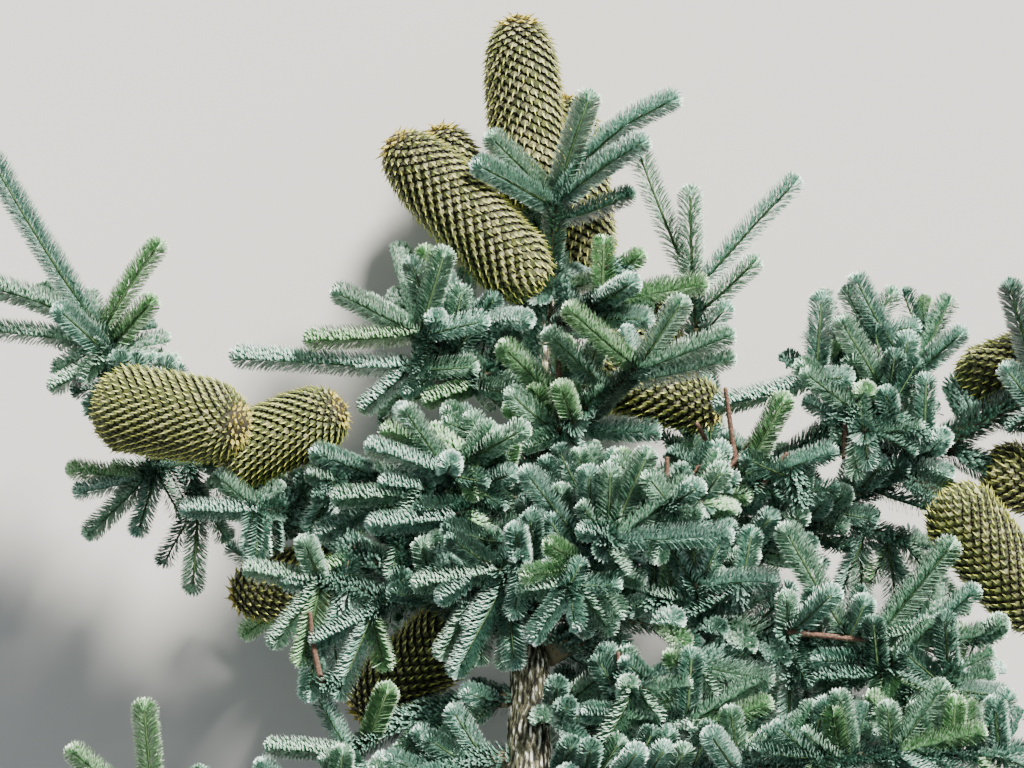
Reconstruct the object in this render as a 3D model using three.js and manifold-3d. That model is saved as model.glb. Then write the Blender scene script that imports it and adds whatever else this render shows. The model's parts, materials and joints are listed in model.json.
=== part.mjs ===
// Cut treetop of a noble fir with cones, lying on the shoots of its far side.
// Lengths in millimetres, angles in degrees. X runs across, Y toward the tip, Z up from the floor.

import * as THREE from "three";
import Module from "manifold-3d";

const wasm = await Module();
wasm.setup();

// Gaps and sizes shared by the whole treetop
const SEAT_GAP = 0.3;
const KEEP_CLEAR = 0.9;
const FLOOR_CLEAR = 1;
const SHOOT_RADIUS = 10.4;
const SHOOT_CORE = 5.6;
const SHOOT_ROOT_RADIUS = 3.6;
const SHOOT_SWELL = 0.55;
const TIP_OVERHANG = 8;
const STEM_ROOT_RADIUS = 2.2;
const STEM_RADIUS = 4.2;
const BARE_RADIUS = 3.2;
const SHOOT_RING_SPACING = 32;
const NEEDLE_SWEEP = 5;
const SHOOT_SIDES = 5;
const ARC_STEPS = 6;
const CONE_SIDES = 8;
const CONE_RINGS = 7;
const SCALE_DEPTH = 0.1;
const STALK_RADIUS = 4;
const STALK_DEPTH = 0.08;
const TRUNK_SIDES = 16;
const TRUNK_RINGS = 10;
const BOUGH_SIDES = 8;
const BOUGH_RINGS = 5;
const CUT_CENTRE = [13, -417, 300];

// Limbs: carrier, place along it, point passed half way, tip, diameters at root and tip
const LIMBS = [
  { name: "trunk", carrier: null, place: 0, via: [16, -160, 212], tip: [31, 100, 116], wide: [44, 11] },
  { name: "bough_right_low", carrier: "trunk", place: 0.46, via: [150, -188, 252], tip: [218, -205, 275],
    wide: [16, 9] },
  { name: "bough_left_low", carrier: "trunk", place: 0.42, via: [-60, -168, 238], tip: [-130, -131, 238],
    wide: [17, 10] },
  { name: "bough_left_inner", carrier: "trunk", place: 0.53, via: [-46, -141, 196], tip: [-98, -118, 204],
    wide: [9, 6] },
  { name: "bough_far_left", carrier: "bough_left_low", place: 0.86, via: [-212, -76, 154],
    tip: [-318, 8, 160], wide: [10, 7] },
  { name: "bough_right_high", carrier: "trunk", place: 0.515, via: [166, -93, 186], tip: [270, -25, 200],
    wide: [15, 8] },
  { name: "bough_right_far", carrier: "trunk", place: 0.38, via: [205, -125, 188], tip: [410, -8, 228],
    wide: [20, 9] },
  { name: "bough_spire", carrier: "bough_right_high", place: 0.45, via: [158, -40, 118], tip: [150, 45, 108],
    wide: [9, 7] },
  { name: "bough_low_left", carrier: "trunk", place: 0.33, via: [-50, -258, 236], tip: [-98, -274, 234],
    wide: [13, 8] },
  { name: "bough_foot_left", carrier: "trunk", place: 0.235, via: [-60, -305, 262], tip: [-125, -330, 262],
    wide: [14, 8] },
  { name: "bough_low_right", carrier: "trunk", place: 0.315, via: [44, -262, 266], tip: [72, -258, 270],
    wide: [13, 9] },
  { name: "bough_foot_right", carrier: "trunk", place: 0.2, via: [96, -316, 304], tip: [164, -308, 312],
    wide: [17, 11] },
  { name: "bough_foot_far_left", carrier: "trunk", place: 0.11, via: [-130, -375, 238],
    tip: [-245, -368, 225], wide: [17, 9] },
  { name: "bough_back_left", carrier: "trunk", place: 0.47, via: [-60, -148, 140], tip: [-116, -158, 104],
    wide: [15, 9] },
  { name: "bough_back_right", carrier: "trunk", place: 0.33, via: [86, -256, 168], tip: [142, -250, 116],
    wide: [15, 9] },
  { name: "bough_back_low", carrier: "trunk", place: 0.16, via: [12, -368, 196], tip: [17, -380, 146],
    wide: [15, 9] },
];

// Cones: carrier, place along it, centre of the base, tip, greatest radius
const CONES = [
  { name: "cone_top", carrier: "trunk", place: 1, base: [16, 142, 95], tip: [5, 296, 92], radius: 31 },
  { name: "cone_top_left", carrier: "trunk", place: 0.955, base: [22, 76, 158], tip: [-96, 196, 154],
    radius: 31 },
  { name: "cone_top_left_behind", carrier: "trunk", place: 0.93, base: [-10, 84, 88], tip: [-60, 207, 72],
    radius: 26 },
  { name: "cone_top_right", carrier: "trunk", place: 0.965, base: [60, 88, 60], tip: [45, 232, 36],
    radius: 28 },
  { name: "cone_right_middle", carrier: "trunk", place: 0.84, base: [56, 12, 178], tip: [166, -22, 166],
    radius: 25 },
  { name: "cone_far_left", carrier: "bough_far_left", place: 0.93, base: [-330, -17, 208],
    tip: [-214, -33, 258], radius: 35 },
  { name: "cone_far_left_inner", carrier: "bough_far_left", place: 0.55, base: [-236, -62, 188],
    tip: [-136, -20, 206], radius: 30 },
  { name: "cone_left_low", carrier: "bough_left_low", place: 0.6, base: [-124, -142, 182],
    tip: [-222, -172, 160], radius: 27 },
  { name: "cone_left_hanging", carrier: "bough_left_low", place: 0.3, base: [-36, -190, 196],
    tip: [-122, -266, 178], radius: 31 },
  { name: "cone_far_right_upper", carrier: "bough_right_far", place: 0.9, base: [358, -4, 186],
    tip: [468, 36, 190], radius: 28 },
  { name: "cone_far_right_middle", carrier: "bough_right_far", place: 0.84, base: [378, -66, 196],
    tip: [474, -98, 182], radius: 27 },
  { name: "cone_far_right_lower", carrier: "bough_right_far", place: 0.76, base: [342, -86, 250],
    tip: [424, -190, 254], radius: 31 },
  { name: "cone_behind", carrier: "trunk", place: 0.78, base: [64, -16, 96], tip: [132, 66, 56], radius: 26 },
];

// Foliage: each mass has one stem and its forks. A fork has its place on the first stem, its node,
// and shoots as place on the fork, bearing, rise, length and bend. Bare twigs are old cone axes.
const MASSES = [
  { name: "leader_shoots", carrier: "trunk", place: 0.95, forks: [
    { from: 0, node: [36, 153, 146], shoots: [
      [0.85, 151, 10, 79, 6], [0.95, 136, 18, 71, 0], [1, 72, 20, 84, -4], [0.97, 41, 6, 122, -40],
      [0.9, 36, 12, 84, -14], [0.7, 19, -2, 60, 12]] }] },
  { name: "spire_shoots", carrier: "bough_spire", place: 1, forks: [
    { from: 0, node: [146, 82, 112], shoots: [
      [1, 112, 4, 112, -4], [1, 92, 18, 74, 0], [0.8, 48, 0, 117, -6], [0.3, 43, 14, 62, 0]] }] },
  { name: "upper_right_shoots", carrier: "trunk", place: 0.885, forks: [
    { from: 0, node: [72, 68, 176], shoots: [
      [1, 10, 4, 78, 0], [0.85, 32, 38, 42, 0], [0.75, 16, -14, 64, 0], [1, 88, -6, 44, 0],
      [0.5, -2, 24, 58, 0]] }] },
  { name: "left_upper_shoots", carrier: "trunk", place: 0.8, forks: [
    { from: 0, node: [-86, 14, 186], shoots: [
      [1, 176, 0, 130, 2], [0.97, 221, 6, 45, 0], [0.35, 62, 24, 44, 0], [0.5, 200, -14, 60, 0]] },
    { from: 0.5, node: [-74, 42, 196], shoots: [
      [1, 183, 6, 84, -4], [1, 153, 18, 72, 0], [1, 73, 12, 64, 0], [1, 150, -22, 48, 0],
      [0.9, 106, -34, 84, 0]] }] },
  { name: "left_middle_shoots", carrier: "trunk", place: 0.62, forks: [
    { from: 0, node: [-52, -70, 244], shoots: [
      [0.95, 124, 4, 58, 0], [1, 160, 2, 60, 0], [0.9, 54, 8, 45, 0], [1, 148, -28, 52, 20],
      [0.3, 85, 10, 40, 0], [1, 70, 70, 30, 0]] },
    { from: 0.4, node: [-84, -86, 236], shoots: [[1, 183, 8, 52, 0]] },
    { from: 0.3, node: [-44, -104, 254], shoots: [[1, 185, 8, 64, -6]] }] },
  { name: "front_upper_shoots", carrier: "trunk", place: 0.69, forks: [
    { from: 0, node: [100, 14, 246], shoots: [
      [1, 139, 8, 68, 0], [1, 57, 12, 60, 0], [0.97, 21, 6, 76, 0], [0.85, 12, -2, 82, 6],
      [0.72, 137, 5, 64, 0], [0.38, 136, 8, 82, 0], [0.3, -2, 10, 62, 4]] }] },
  { name: "front_middle_shoots", carrier: "trunk", place: 0.487, forks: [
    { from: 0, node: [80, -122, 302], shoots: [
      [0.7, 128, 8, 79, 0], [0.7, 92, 16, 64, 0], [0.9, 66, 12, 76, 0], [1, 38, -6, 68, 0],
      [1, 3, 4, 86, -2], [0.2, -58, 6, 48, 0]] }] },
  { name: "front_left_shoots", carrier: "trunk", place: 0.44, forks: [
    { from: 0, node: [-10, -146, 282], shoots: [
      [1, 146, 26, 46, 0], [0.8, 242, 4, 80, 0], [1, 60, 8, 34, 0], [1, 190, 2, 62, 0],
      [0.7, 276, 8, 62, 0]] }] },
  { name: "right_low_shoots", carrier: "bough_right_low", place: 1, forks: [
    { from: 0, node: [278, -216, 284], shoots: [
      [1, 121, 10, 116, -6], [0.9, 50, 6, 112, 4], [1, 12, 0, 106, 0], [1, -24, 4, 96, 20],
      [0.7, 66, 22, 46, 0], [0.5, 103, 18, 46, 0], [1, 30, -24, 70, 0]] },
    { from: 0.2, node: [262, -252, 286], shoots: [
      [1, -50, 0, 88, 0], [0.6, -104, 0, 62, 0], [1, -14, -10, 80, 0]] }] },
  { name: "right_low_hanging", carrier: "bough_right_low", place: 0.66, forks: [
    { from: 0, node: [162, -226, 250], shoots: [
      [1, -76, 0, 60, 0], [1, -44, -4, 66, 0], [1, -116, -4, 50, 0]] }] },
  { name: "right_low_upright", carrier: "bough_right_low", place: 0.5, forks: [
    { from: 0, node: [146, -158, 280], shoots: [
      [0.9, 95, 0, 46, 0], [0.9, 122, 4, 48, 0], [1, 62, -4, 50, 0], [1, 4, 6, 58, -14],
      [0.5, 168, 0, 56, -16]] }] },
  { name: "right_high_shoots", carrier: "bough_right_high", place: 1, forks: [
    { from: 0, node: [300, -8, 226], shoots: [
      [1, 122, 10, 66, 0], [0.4, 95, 66, 32, 0], [0.2, -84, -14, 52, 0, "bare"]] },
    { from: 0.2, node: [240, 6, 228], shoots: [
      [1, 196, 4, 74, -8], [0.95, 86, 8, 62, 0], [0.35, 140, 30, 46, 0]] },
    { from: 0.4, node: [322, 10, 208], shoots: [
      [1, 122, 4, 84, -14], [0.95, 64, -8, 62, 0], [1, 42, 12, 46, 0], [1, 80, -28, 60, 0]] }] },
  { name: "right_high_inner", carrier: "bough_right_high", place: 0.5, forks: [
    { from: 0, node: [180, -78, 236], shoots: [
      [1, 62, 6, 74, 0], [0.9, 20, 4, 76, 0], [1, 98, 0, 78, 0, "bare"], [0.6, 118, -8, 60, 0, "bare"],
      [0.8, 152, 4, 52, 0]] }] },
  { name: "far_right_shoots", carrier: "bough_right_far", place: 1, forks: [
    { from: 0, node: [444, 6, 244], shoots: [
      [0.35, 108, 14, 84, -6], [0.9, 100, 0, 90, 0], [1, 66, 8, 88, 0], [1, 26, 10, 92, 0],
      [1, -14, 4, 88, 0], [0.7, -50, 14, 70, 0]] }] },
  { name: "far_right_hanging", carrier: "bough_right_far", place: 0.6, forks: [
    { from: 0, node: [312, -124, 190], shoots: [
      [1, -8, -6, 64, 0], [1, -48, -6, 72, 0], [0.8, -82, -4, 62, 0], [0.5, -112, -10, 56, 0]] }] },
  { name: "left_low_hanging", carrier: "bough_left_low", place: 0.62, forks: [
    { from: 0, node: [-112, -182, 254], shoots: [
      [1, 247, 2, 66, 0], [1, 286, 2, 40, 0], [0.7, 206, 10, 56, 0]] },
    { from: 0.4, node: [-152, -156, 258], shoots: [
      [1, 232, 6, 58, 0], [1, 256, -4, 62, 0], [1, 110, 30, 36, 0], [1, 170, 0, 54, 0]] }] },
  { name: "left_inner_shoots", carrier: "bough_left_inner", place: 1, forks: [
    { from: 0, node: [-108, -72, 216], shoots: [
      [1, 158, -4, 50, 0], [1, 186, -8, 58, 0], [0.9, 66, -24, 50, 0], [0.5, 206, 0, 54, 0]] }] },
  { name: "far_left_shoots", carrier: "bough_far_left", place: 1, forks: [
    { from: 0, node: [-329, 42, 172], shoots: [
      [1, 122, 8, 162, -6], [1, 58, 4, 80, -14], [0.6, 48, 12, 50, 0], [1, 157, 12, 98, 24],
      [0.9, 141, -16, 60, 0], [0.8, 174, -6, 86, 0], [0.5, 137, 34, 58, 0], [0.4, 207, 0, 48, 0],
      [0.5, -10, -36, 60, 0]] }] },
  { name: "far_left_hanging", carrier: "bough_far_left", place: 0.72, forks: [
    { from: 0, node: [-296, -74, 166], shoots: [
      [1, 173, 4, 54, 0], [1, 192, -4, 50, 0], [0.9, 225, 6, 64, 0], [0.7, 253, 4, 52, 0]] },
    { from: 0.1, node: [-252, -97, 160], shoots: [[1, 266, 4, 64, 0], [0.6, 300, -10, 50, 0]] }] },
  { name: "far_left_inner", carrier: "bough_far_left", place: 0.3, forks: [
    { from: 0, node: [-200, -100, 226], shoots: [
      [1, 178, 4, 56, 0], [1, 262, 14, 40, 0], [0.8, -38, 12, 60, 0], [1, 140, 10, 40, 0]] }] },
  { name: "low_left_shoots", carrier: "bough_low_left", place: 1, forks: [
    { from: 0, node: [-128, -292, 246], shoots: [
      [1, 120, 4, 52, 0], [1, 176, 0, 60, 0], [1, 225, 0, 60, 0], [0.6, 68, 20, 46, 0]] }] },
  { name: "foot_left_shoots", carrier: "bough_foot_left", place: 1, forks: [
    { from: 0, node: [-160, -345, 266], shoots: [
      [1, 130, 4, 56, 0], [1, 170, 8, 80, 0], [1, 215, 0, 70, 0], [0.4, 84, 14, 44, 0],
      [0.6, -70, 0, 60, 0]] }] },
  { name: "foot_far_left_shoots", carrier: "bough_foot_far_left", place: 1, forks: [
    { from: 0, node: [-285, -345, 226], shoots: [
      [1, 95, 4, 86, 0], [1, 140, 4, 80, 0], [1, 184, 6, 90, 0], [0.6, 226, 0, 70, 0],
      [0.3, 80, -10, 50, 0], [1, 150, -40, 76, 0]] }] },
  { name: "low_right_shoots", carrier: "bough_low_right", place: 1, forks: [
    { from: 0, node: [138, -266, 300], shoots: [
      [1, 86, 0, 50, 0], [1, 30, 0, 58, 0], [1, -20, 0, 58, 0], [0.6, 112, 0, 52, 0],
      [0.8, -84, 6, 56, 0], [0.1, 96, 2, 44, 0], [0.15, -70, 4, 46, 0], [0.4, 176, 20, 40, 0]] }] },
  { name: "foot_right_shoots", carrier: "bough_foot_right", place: 1, forks: [
    { from: 0, node: [300, -288, 338], shoots: [
      [1, 54, 0, 60, 0], [1, 14, 4, 66, 0], [1, -34, 4, 70, 0], [0.75, 100, 4, 46, 0],
      [0.6, -80, 0, 60, 0], [0.1, 124, 2, 48, 0], [0.4, 70, 2, 46, 0], [0.15, -60, 0, 60, 0]] },
    { from: 0.9, node: [362, -292, 328], shoots: [
      [1, 60, 4, 52, 0], [1, 8, 0, 78, 0], [1, -44, 0, 60, 0]] }] },
  { name: "back_left_shoots", carrier: "bough_back_left", place: 1, seed: 35, forks: [
    { from: 0, node: [-184, -164, 52], foot: [-194, -158, 0], spread: [180, 130], count: 4, shoots: [
      [0.15, 118, -8, 70, 0], [0.2, 238, -4, 74, 0], [0.55, 150, 22, 62, 0], [0.6, 214, -12, 66, 0]] }] },
  { name: "back_right_shoots", carrier: "bough_back_right", place: 1, seed: 36, forks: [
    { from: 0, node: [214, -238, 52], foot: [226, -236, 0], spread: [0, 130], count: 4, shoots: [
      [0.15, 62, -6, 74, 0], [0.2, -62, -6, 70, 0], [0.55, 24, 24, 62, 0], [0.6, -30, -10, 66, 0]] }] },
  { name: "back_low_shoots", carrier: "bough_back_low", place: 1, seed: 38, forks: [
    { from: 0, node: [20, -392, 54], foot: [22, -396, 0], spread: [-90, 150], count: 4, shoots: [
      [0.1, -20, -4, 72, 0], [0.15, 200, -4, 72, 0], [0.4, -100, 8, 58, 0], [0.55, 64, -6, 60, 0]] }] },
  { name: "back_upper_shoots", carrier: "trunk", place: 0.8, seed: 37, forks: [
    { from: 0, node: [24, 42, 54], foot: [22, 52, 0], spread: [80, 150], count: 4, shoots: [
      [0.3, 176, -8, 70, 0], [0.35, 16, -14, 62, 0]] }] },
  { name: "back_middle_left", carrier: "trunk", place: 0.6, forks: [
    { from: 0, node: [-50, -84, 106], shoots: [
      [1, 182, -8, 80, 0], [1, 134, -16, 76, 0], [1, 228, -14, 74, 0], [0.9, 92, -30, 62, 0],
      [0.7, 262, -30, 60, 0], [1, 176, -52, 60, 0]] }] },
  { name: "back_middle_right", carrier: "trunk", place: 0.55, forks: [
    { from: 0, node: [84, -112, 116], shoots: [
      [1, 2, -8, 80, 0], [1, 46, -16, 74, 0], [1, -44, -14, 72, 0], [0.9, 92, -34, 60, 0],
      [0.7, -86, -26, 60, 0], [1, 10, -52, 60, 0]] }] },
];

// Bearings, rises and lengths that a seeded far-side shoot may take
const BACK_RISE = [-16, 34];
const BACK_LENGTH = [46, 76];
// Turns out of the picture plane that a shoot tries, nearest first, before it is left out
const RISE_TRIES = [0, 7, -7, 14, -14, 22, -22, 30, -30, 40, -40];

const FAINT = 1e-6;
const RAD = Math.PI / 180;

// Small vector helpers on plain triples
const plus = (a, b) => [a[0] + b[0], a[1] + b[1], a[2] + b[2]];
const minus = (a, b) => [a[0] - b[0], a[1] - b[1], a[2] - b[2]];
const times = (a, k) => [a[0] * k, a[1] * k, a[2] * k];
const dot = (a, b) => a[0] * b[0] + a[1] * b[1] + a[2] * b[2];
const size = (a) => Math.sqrt(dot(a, a));
const unit = (a) => times(a, 1 / size(a));
const mix = (a, b, t) => plus(a, times(minus(b, a), t));
const cross = (a, b) => [
  a[1] * b[2] - a[2] * b[1],
  a[2] * b[0] - a[0] * b[2],
  a[0] * b[1] - a[1] * b[0],
];

function seeded(seed) {
  let state = seed >>> 0;
  return () => {
    state = (state + 0x6d2b79f5) >>> 0;
    let t = state;
    t = Math.imul(t ^ (t >>> 15), t | 1);
    t ^= t + Math.imul(t ^ (t >>> 7), t | 61);
    return ((t ^ (t >>> 14)) >>> 0) / 4294967296;
  };
}

function heading(bearing, rise) {
  const flat = Math.cos(rise * RAD);
  return [Math.cos(bearing * RAD) * flat, Math.sin(bearing * RAD) * flat, Math.sin(rise * RAD)];
}

// A curve from start to tip that passes via half way
function bowed(start, via, tip) {
  const pull = minus(times(via, 2), mix(start, tip, 0.5));
  return (t) => mix(mix(start, pull, t), mix(pull, tip, t), t);
}

// How far a point stands off a limb, less the limb's own radius there
function standOff(limb, point, place) {
  let best = Infinity;
  for (let k = -60; k <= 60; k += 1) {
    const t = Math.min(1, Math.max(0, place + k / 400));
    const r = limb.radii[0] + (limb.radii[1] - limb.radii[0]) * t;
    best = Math.min(best, size(minus(point, limb.at(t))) - r);
  }
  return best;
}

// The first point on the way from a limb to a target at which a root of this radius is clear of it.
// The root faces along headed(start), or straight to the target.
function seatOn(limb, place, target, rootRadius, headed) {
  const from = limb.at(place);
  const way = unit(minus(target, from));
  const out = unit(minus(limb.at(1), limb.at(0.98)));
  let here = from;
  for (let s = 0.1; s < 90; s += 0.05) {
    here = plus(from, times(way, s));
    const face = headed ? headed(here) : way;
    const side = unit(cross(face, Math.abs(face[2]) < 0.9 ? [0, 0, 1] : [1, 0, 0]));
    const other = cross(face, side);
    let clear = true;
    for (let j = 0; j < 12 && clear; j += 1) {
      const turn = (j * Math.PI) / 6;
      const rim = plus(times(side, Math.cos(turn) * rootRadius), times(other, Math.sin(turn) * rootRadius));
      const corner = plus(here, rim);
      clear = place >= 1
        ? dot(minus(corner, from), out) >= SEAT_GAP
        : standOff(limb, corner, place) >= SEAT_GAP;
    }
    if (clear) {
      return here;
    }
  }
  return here;
}

// A limb follows the straight runs between its own rings
function runsOf(curve, rings) {
  const centres = Array.from({ length: rings }, (_, k) => curve(k / (rings - 1)));
  return (t) => pointAlong(centres, t);
}

function growLimbs() {
  const made = new Map();
  for (const row of LIMBS) {
    const radii = [row.wide[0] / 2, row.wide[1] / 2];
    const start = row.carrier
      ? seatOn(made.get(row.carrier), row.place, row.via, radii[0], (from) => {
        const curve = bowed(from, row.via, row.tip);
        return unit(minus(curve(1 / (BOUGH_RINGS - 1)), curve(0)));
      })
      : CUT_CENTRE;
    const rings = row.carrier ? BOUGH_RINGS : TRUNK_RINGS;
    made.set(row.name, { at: runsOf(bowed(start, row.via, row.tip), rings), radii });
  }
  return made;
}

function coneRadius(radius, t) {
  const shoulder = Math.min(1, 0.6 + 2.6 * t);
  const fall = Math.max(0, (t - 0.5) / 0.52);
  return radius * shoulder * Math.sqrt(Math.max(0, 1 - fall ** 2.6));
}

// Where the stalk of a cone leaves its limb
function stalkRoot(cone, limbs) {
  const inside = mix(cone.base, cone.tip, STALK_DEPTH);
  const headed = (from) => unit(minus(inside, from));
  return seatOn(limbs.get(cone.carrier), cone.place, inside, STALK_RADIUS, headed);
}

// Points of a shoot that turns by bend degrees on its way
function arc(start, bearing, rise, reach, bend) {
  const points = [start];
  for (let k = 0; k < ARC_STEPS; k += 1) {
    const turn = bearing + bend * ((k + 0.5) / ARC_STEPS - 0.5);
    points.push(plus(points[k], times(heading(turn, rise), reach / ARC_STEPS)));
  }
  return points;
}

function straight(start, end) {
  return Array.from({ length: ARC_STEPS + 1 }, (_, k) => mix(start, end, k / ARC_STEPS));
}

function shootRadius(along) {
  return Math.min(SHOOT_RADIUS, SHOOT_ROOT_RADIUS + SHOOT_SWELL * along);
}

// Balls that fill a twig, used to keep the masses out of each other
function balls(twig) {
  const out = [];
  let along = 0;
  for (let k = 1; k < twig.points.length; k += 1) {
    const reach = size(minus(twig.points[k], twig.points[k - 1]));
    const count = Math.ceil(reach / 4);
    for (let i = 0; i <= count; i += 1) {
      const here = along + (reach * i) / count;
      const r = twig.kind === "shoot" ? shootRadius(here) : twig.radius;
      out.push([mix(twig.points[k - 1], twig.points[k], i / count), r]);
    }
    along += reach;
  }
  return out;
}

function clashes(taken, owner, twig) {
  for (const [centre, r] of balls(twig)) {
    if (centre[2] - r < FLOOR_CLEAR) {
      return true;
    }
    for (const ball of taken) {
      if (ball.owner === owner) {
        continue;
      }
      const near = r + ball.radius + KEEP_CLEAR;
      const gap = minus(centre, ball.centre);
      if (Math.abs(gap[0]) < near && Math.abs(gap[1]) < near && dot(gap, gap) < near * near) {
        return true;
      }
    }
  }
  return false;
}

function take(taken, owner, twig) {
  for (const [centre, radius] of balls(twig)) {
    taken.push({ owner, centre, radius });
  }
}

// Places every stem first, then every shoot, in the order of the lists above
function growMasses(limbs) {
  const taken = [];
  for (const [owner, limb] of limbs) {
    const steps = Math.ceil(size(minus(limb.at(1), limb.at(0))) / 4);
    for (let k = 0; k <= steps; k += 1) {
      const t = k / steps;
      taken.push({ owner, centre: limb.at(t), radius: limb.radii[0] + (limb.radii[1] - limb.radii[0]) * t });
    }
  }
  for (const cone of CONES) {
    for (let k = 0; k <= 40; k += 1) {
      const t = k / 40;
      const centre = mix(cone.base, cone.tip, t);
      taken.push({ owner: cone.name, centre, radius: coneRadius(cone.radius, t) });
    }
    const stalk = straight(stalkRoot(cone, limbs), cone.base);
    take(taken, cone.name, { points: stalk, kind: "stem", radius: STALK_RADIUS });
  }
  const masses = [];
  for (const row of MASSES) {
    const limb = limbs.get(row.carrier);
    const mass = { name: row.name, twigs: [] };
    let first = null;
    for (const fork of row.forks) {
      const start = first
        ? mix(first[0], first[1], fork.from)
        : seatOn(limb, row.place, fork.node, STEM_ROOT_RADIUS);
      first = first || [start, fork.node];
      const twig = { points: straight(start, fork.node), kind: "stem", radius: STEM_RADIUS };
      mass.twigs.push(twig);
      take(taken, row.name, twig);
      fork.start = start;
    }
    masses.push(mass);
  }
  MASSES.forEach((row, index) => {
    const mass = masses[index];
    const chance = seeded(row.seed || 1);
    for (const fork of row.forks) {
      if (fork.foot) {
        const way = unit(minus(fork.foot, fork.node));
        const end = minus(fork.foot, times(way, TIP_OVERHANG));
        const leg = { points: straight(fork.node, end), kind: "shoot" };
        mass.twigs.push(leg);
        take(taken, row.name, leg);
      }
      const shoots = [...fork.shoots];
      for (let k = 0; k < (fork.count || 0); k += 1) {
        shoots.push([
          0.35 + 0.65 * chance(),
          fork.spread[0] + fork.spread[1] * (((k + 0.5) / fork.count) * 2 - 1),
          BACK_RISE[0] + (BACK_RISE[1] - BACK_RISE[0]) * chance(),
          BACK_LENGTH[0] + (BACK_LENGTH[1] - BACK_LENGTH[0]) * chance(),
          0,
        ]);
      }
      for (const [place, bearing, rise, reach, bend, bare] of shoots) {
        const root = mix(fork.start, fork.node, place);
        let kept = null;
        for (const turn of RISE_TRIES) {
          const twig = {
            points: arc(root, bearing, rise + turn, reach, bend),
            kind: bare ? "bare" : "shoot",
            radius: BARE_RADIUS,
          };
          if (!clashes(taken, row.name, twig)) {
            kept = twig;
            break;
          }
        }
        if (kept) {
          mass.twigs.push(kept);
          take(taken, row.name, kept);
        }
      }
    }
  });
  return masses;
}

// Steady side vectors carried along a row of centres
function framesAlong(centres) {
  const frames = [];
  let side = null;
  for (let k = 0; k < centres.length; k += 1) {
    const before = centres[Math.max(0, k - 1)];
    const after = centres[Math.min(centres.length - 1, k + 1)];
    const way = unit(minus(after, before));
    const guess = side || (Math.abs(way[2]) < 0.9 ? [0, 0, 1] : [1, 0, 0]);
    side = unit(minus(guess, times(way, dot(guess, way))));
    frames.push({ way, side, other: cross(way, side) });
  }
  return frames;
}

// A closed tube: a point for each ring and side comes from offset(ring, side)
function closedTube(centres, sides, offset, tip) {
  const frames = framesAlong(centres);
  const points = [];
  for (let k = 0; k < centres.length; k += 1) {
    for (let j = 0; j < sides; j += 1) {
      const turn = (2 * Math.PI * j) / sides;
      const [radius, sweep] = offset(k, j);
      const { way, side, other } = frames[k];
      const out = plus(times(side, Math.cos(turn) * radius), times(other, Math.sin(turn) * radius));
      points.push(plus(plus(centres[k], out), times(way, sweep)));
    }
  }
  const faces = [];
  for (let k = 0; k + 1 < centres.length; k += 1) {
    for (let j = 0; j < sides; j += 1) {
      const a = k * sides + j;
      const b = k * sides + ((j + 1) % sides);
      faces.push([a, b, b + sides], [a, b + sides, a + sides]);
    }
  }
  const first = points.length;
  points.push(centres[0]);
  points.push(tip || centres[centres.length - 1]);
  const top = (centres.length - 1) * sides;
  for (let j = 0; j < sides; j += 1) {
    const next = (j + 1) % sides;
    faces.push([first, next, j], [first + 1, top + j, top + next]);
  }
  return new wasm.Manifold(
    new wasm.Mesh({
      numProp: 3,
      vertProperties: new Float32Array(points.flat()),
      triVerts: new Uint32Array(faces.flat()),
    }),
  );
}

function pointAlong(points, t) {
  const at = Math.min(t, 1 - FAINT) * (points.length - 1);
  const k = Math.floor(at);
  return mix(points[k], points[k + 1], at - k);
}

// A spray of needles as a tube whose outer corners stand out by turns and lean to the tip
function toothedShoot(twig) {
  const reach = size(minus(twig.points[ARC_STEPS], twig.points[0]));
  const rings = Math.max(3, Math.round(reach / SHOOT_RING_SPACING) + 1);
  const centres = Array.from({ length: rings }, (_, k) => pointAlong(twig.points, k / (rings - 1)));
  const end = centres[rings - 1];
  const way = unit(minus(end, centres[rings - 2]));
  const offset = (k, j) => {
    if (k === 0) {
      return [SHOOT_ROOT_RADIUS * 0.9, 0];
    }
    const full = shootRadius((reach * k) / (rings - 1));
    const outer = (k + j) % 2 === 0;
    const last = k === rings - 1 ? 0.72 : 1;
    return outer ? [full * last * 0.97, NEEDLE_SWEEP * 0.5] : [Math.min(full, SHOOT_CORE) * last, -1];
  };
  return closedTube(centres, SHOOT_SIDES, offset, plus(end, times(way, TIP_OVERHANG)));
}

function roundTwig(twig) {
  const ends = [twig.points[0], twig.points[ARC_STEPS]];
  const radii = twig.kind === "bare" ? [twig.radius, twig.radius * 0.5] : [STEM_ROOT_RADIUS, twig.radius];
  return closedTube(ends, 6, (k) => [radii[k], 0], null);
}

function join(pieces) {
  return pieces.reduce((sum, piece) => (sum ? sum.add(piece) : piece), null);
}

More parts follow.
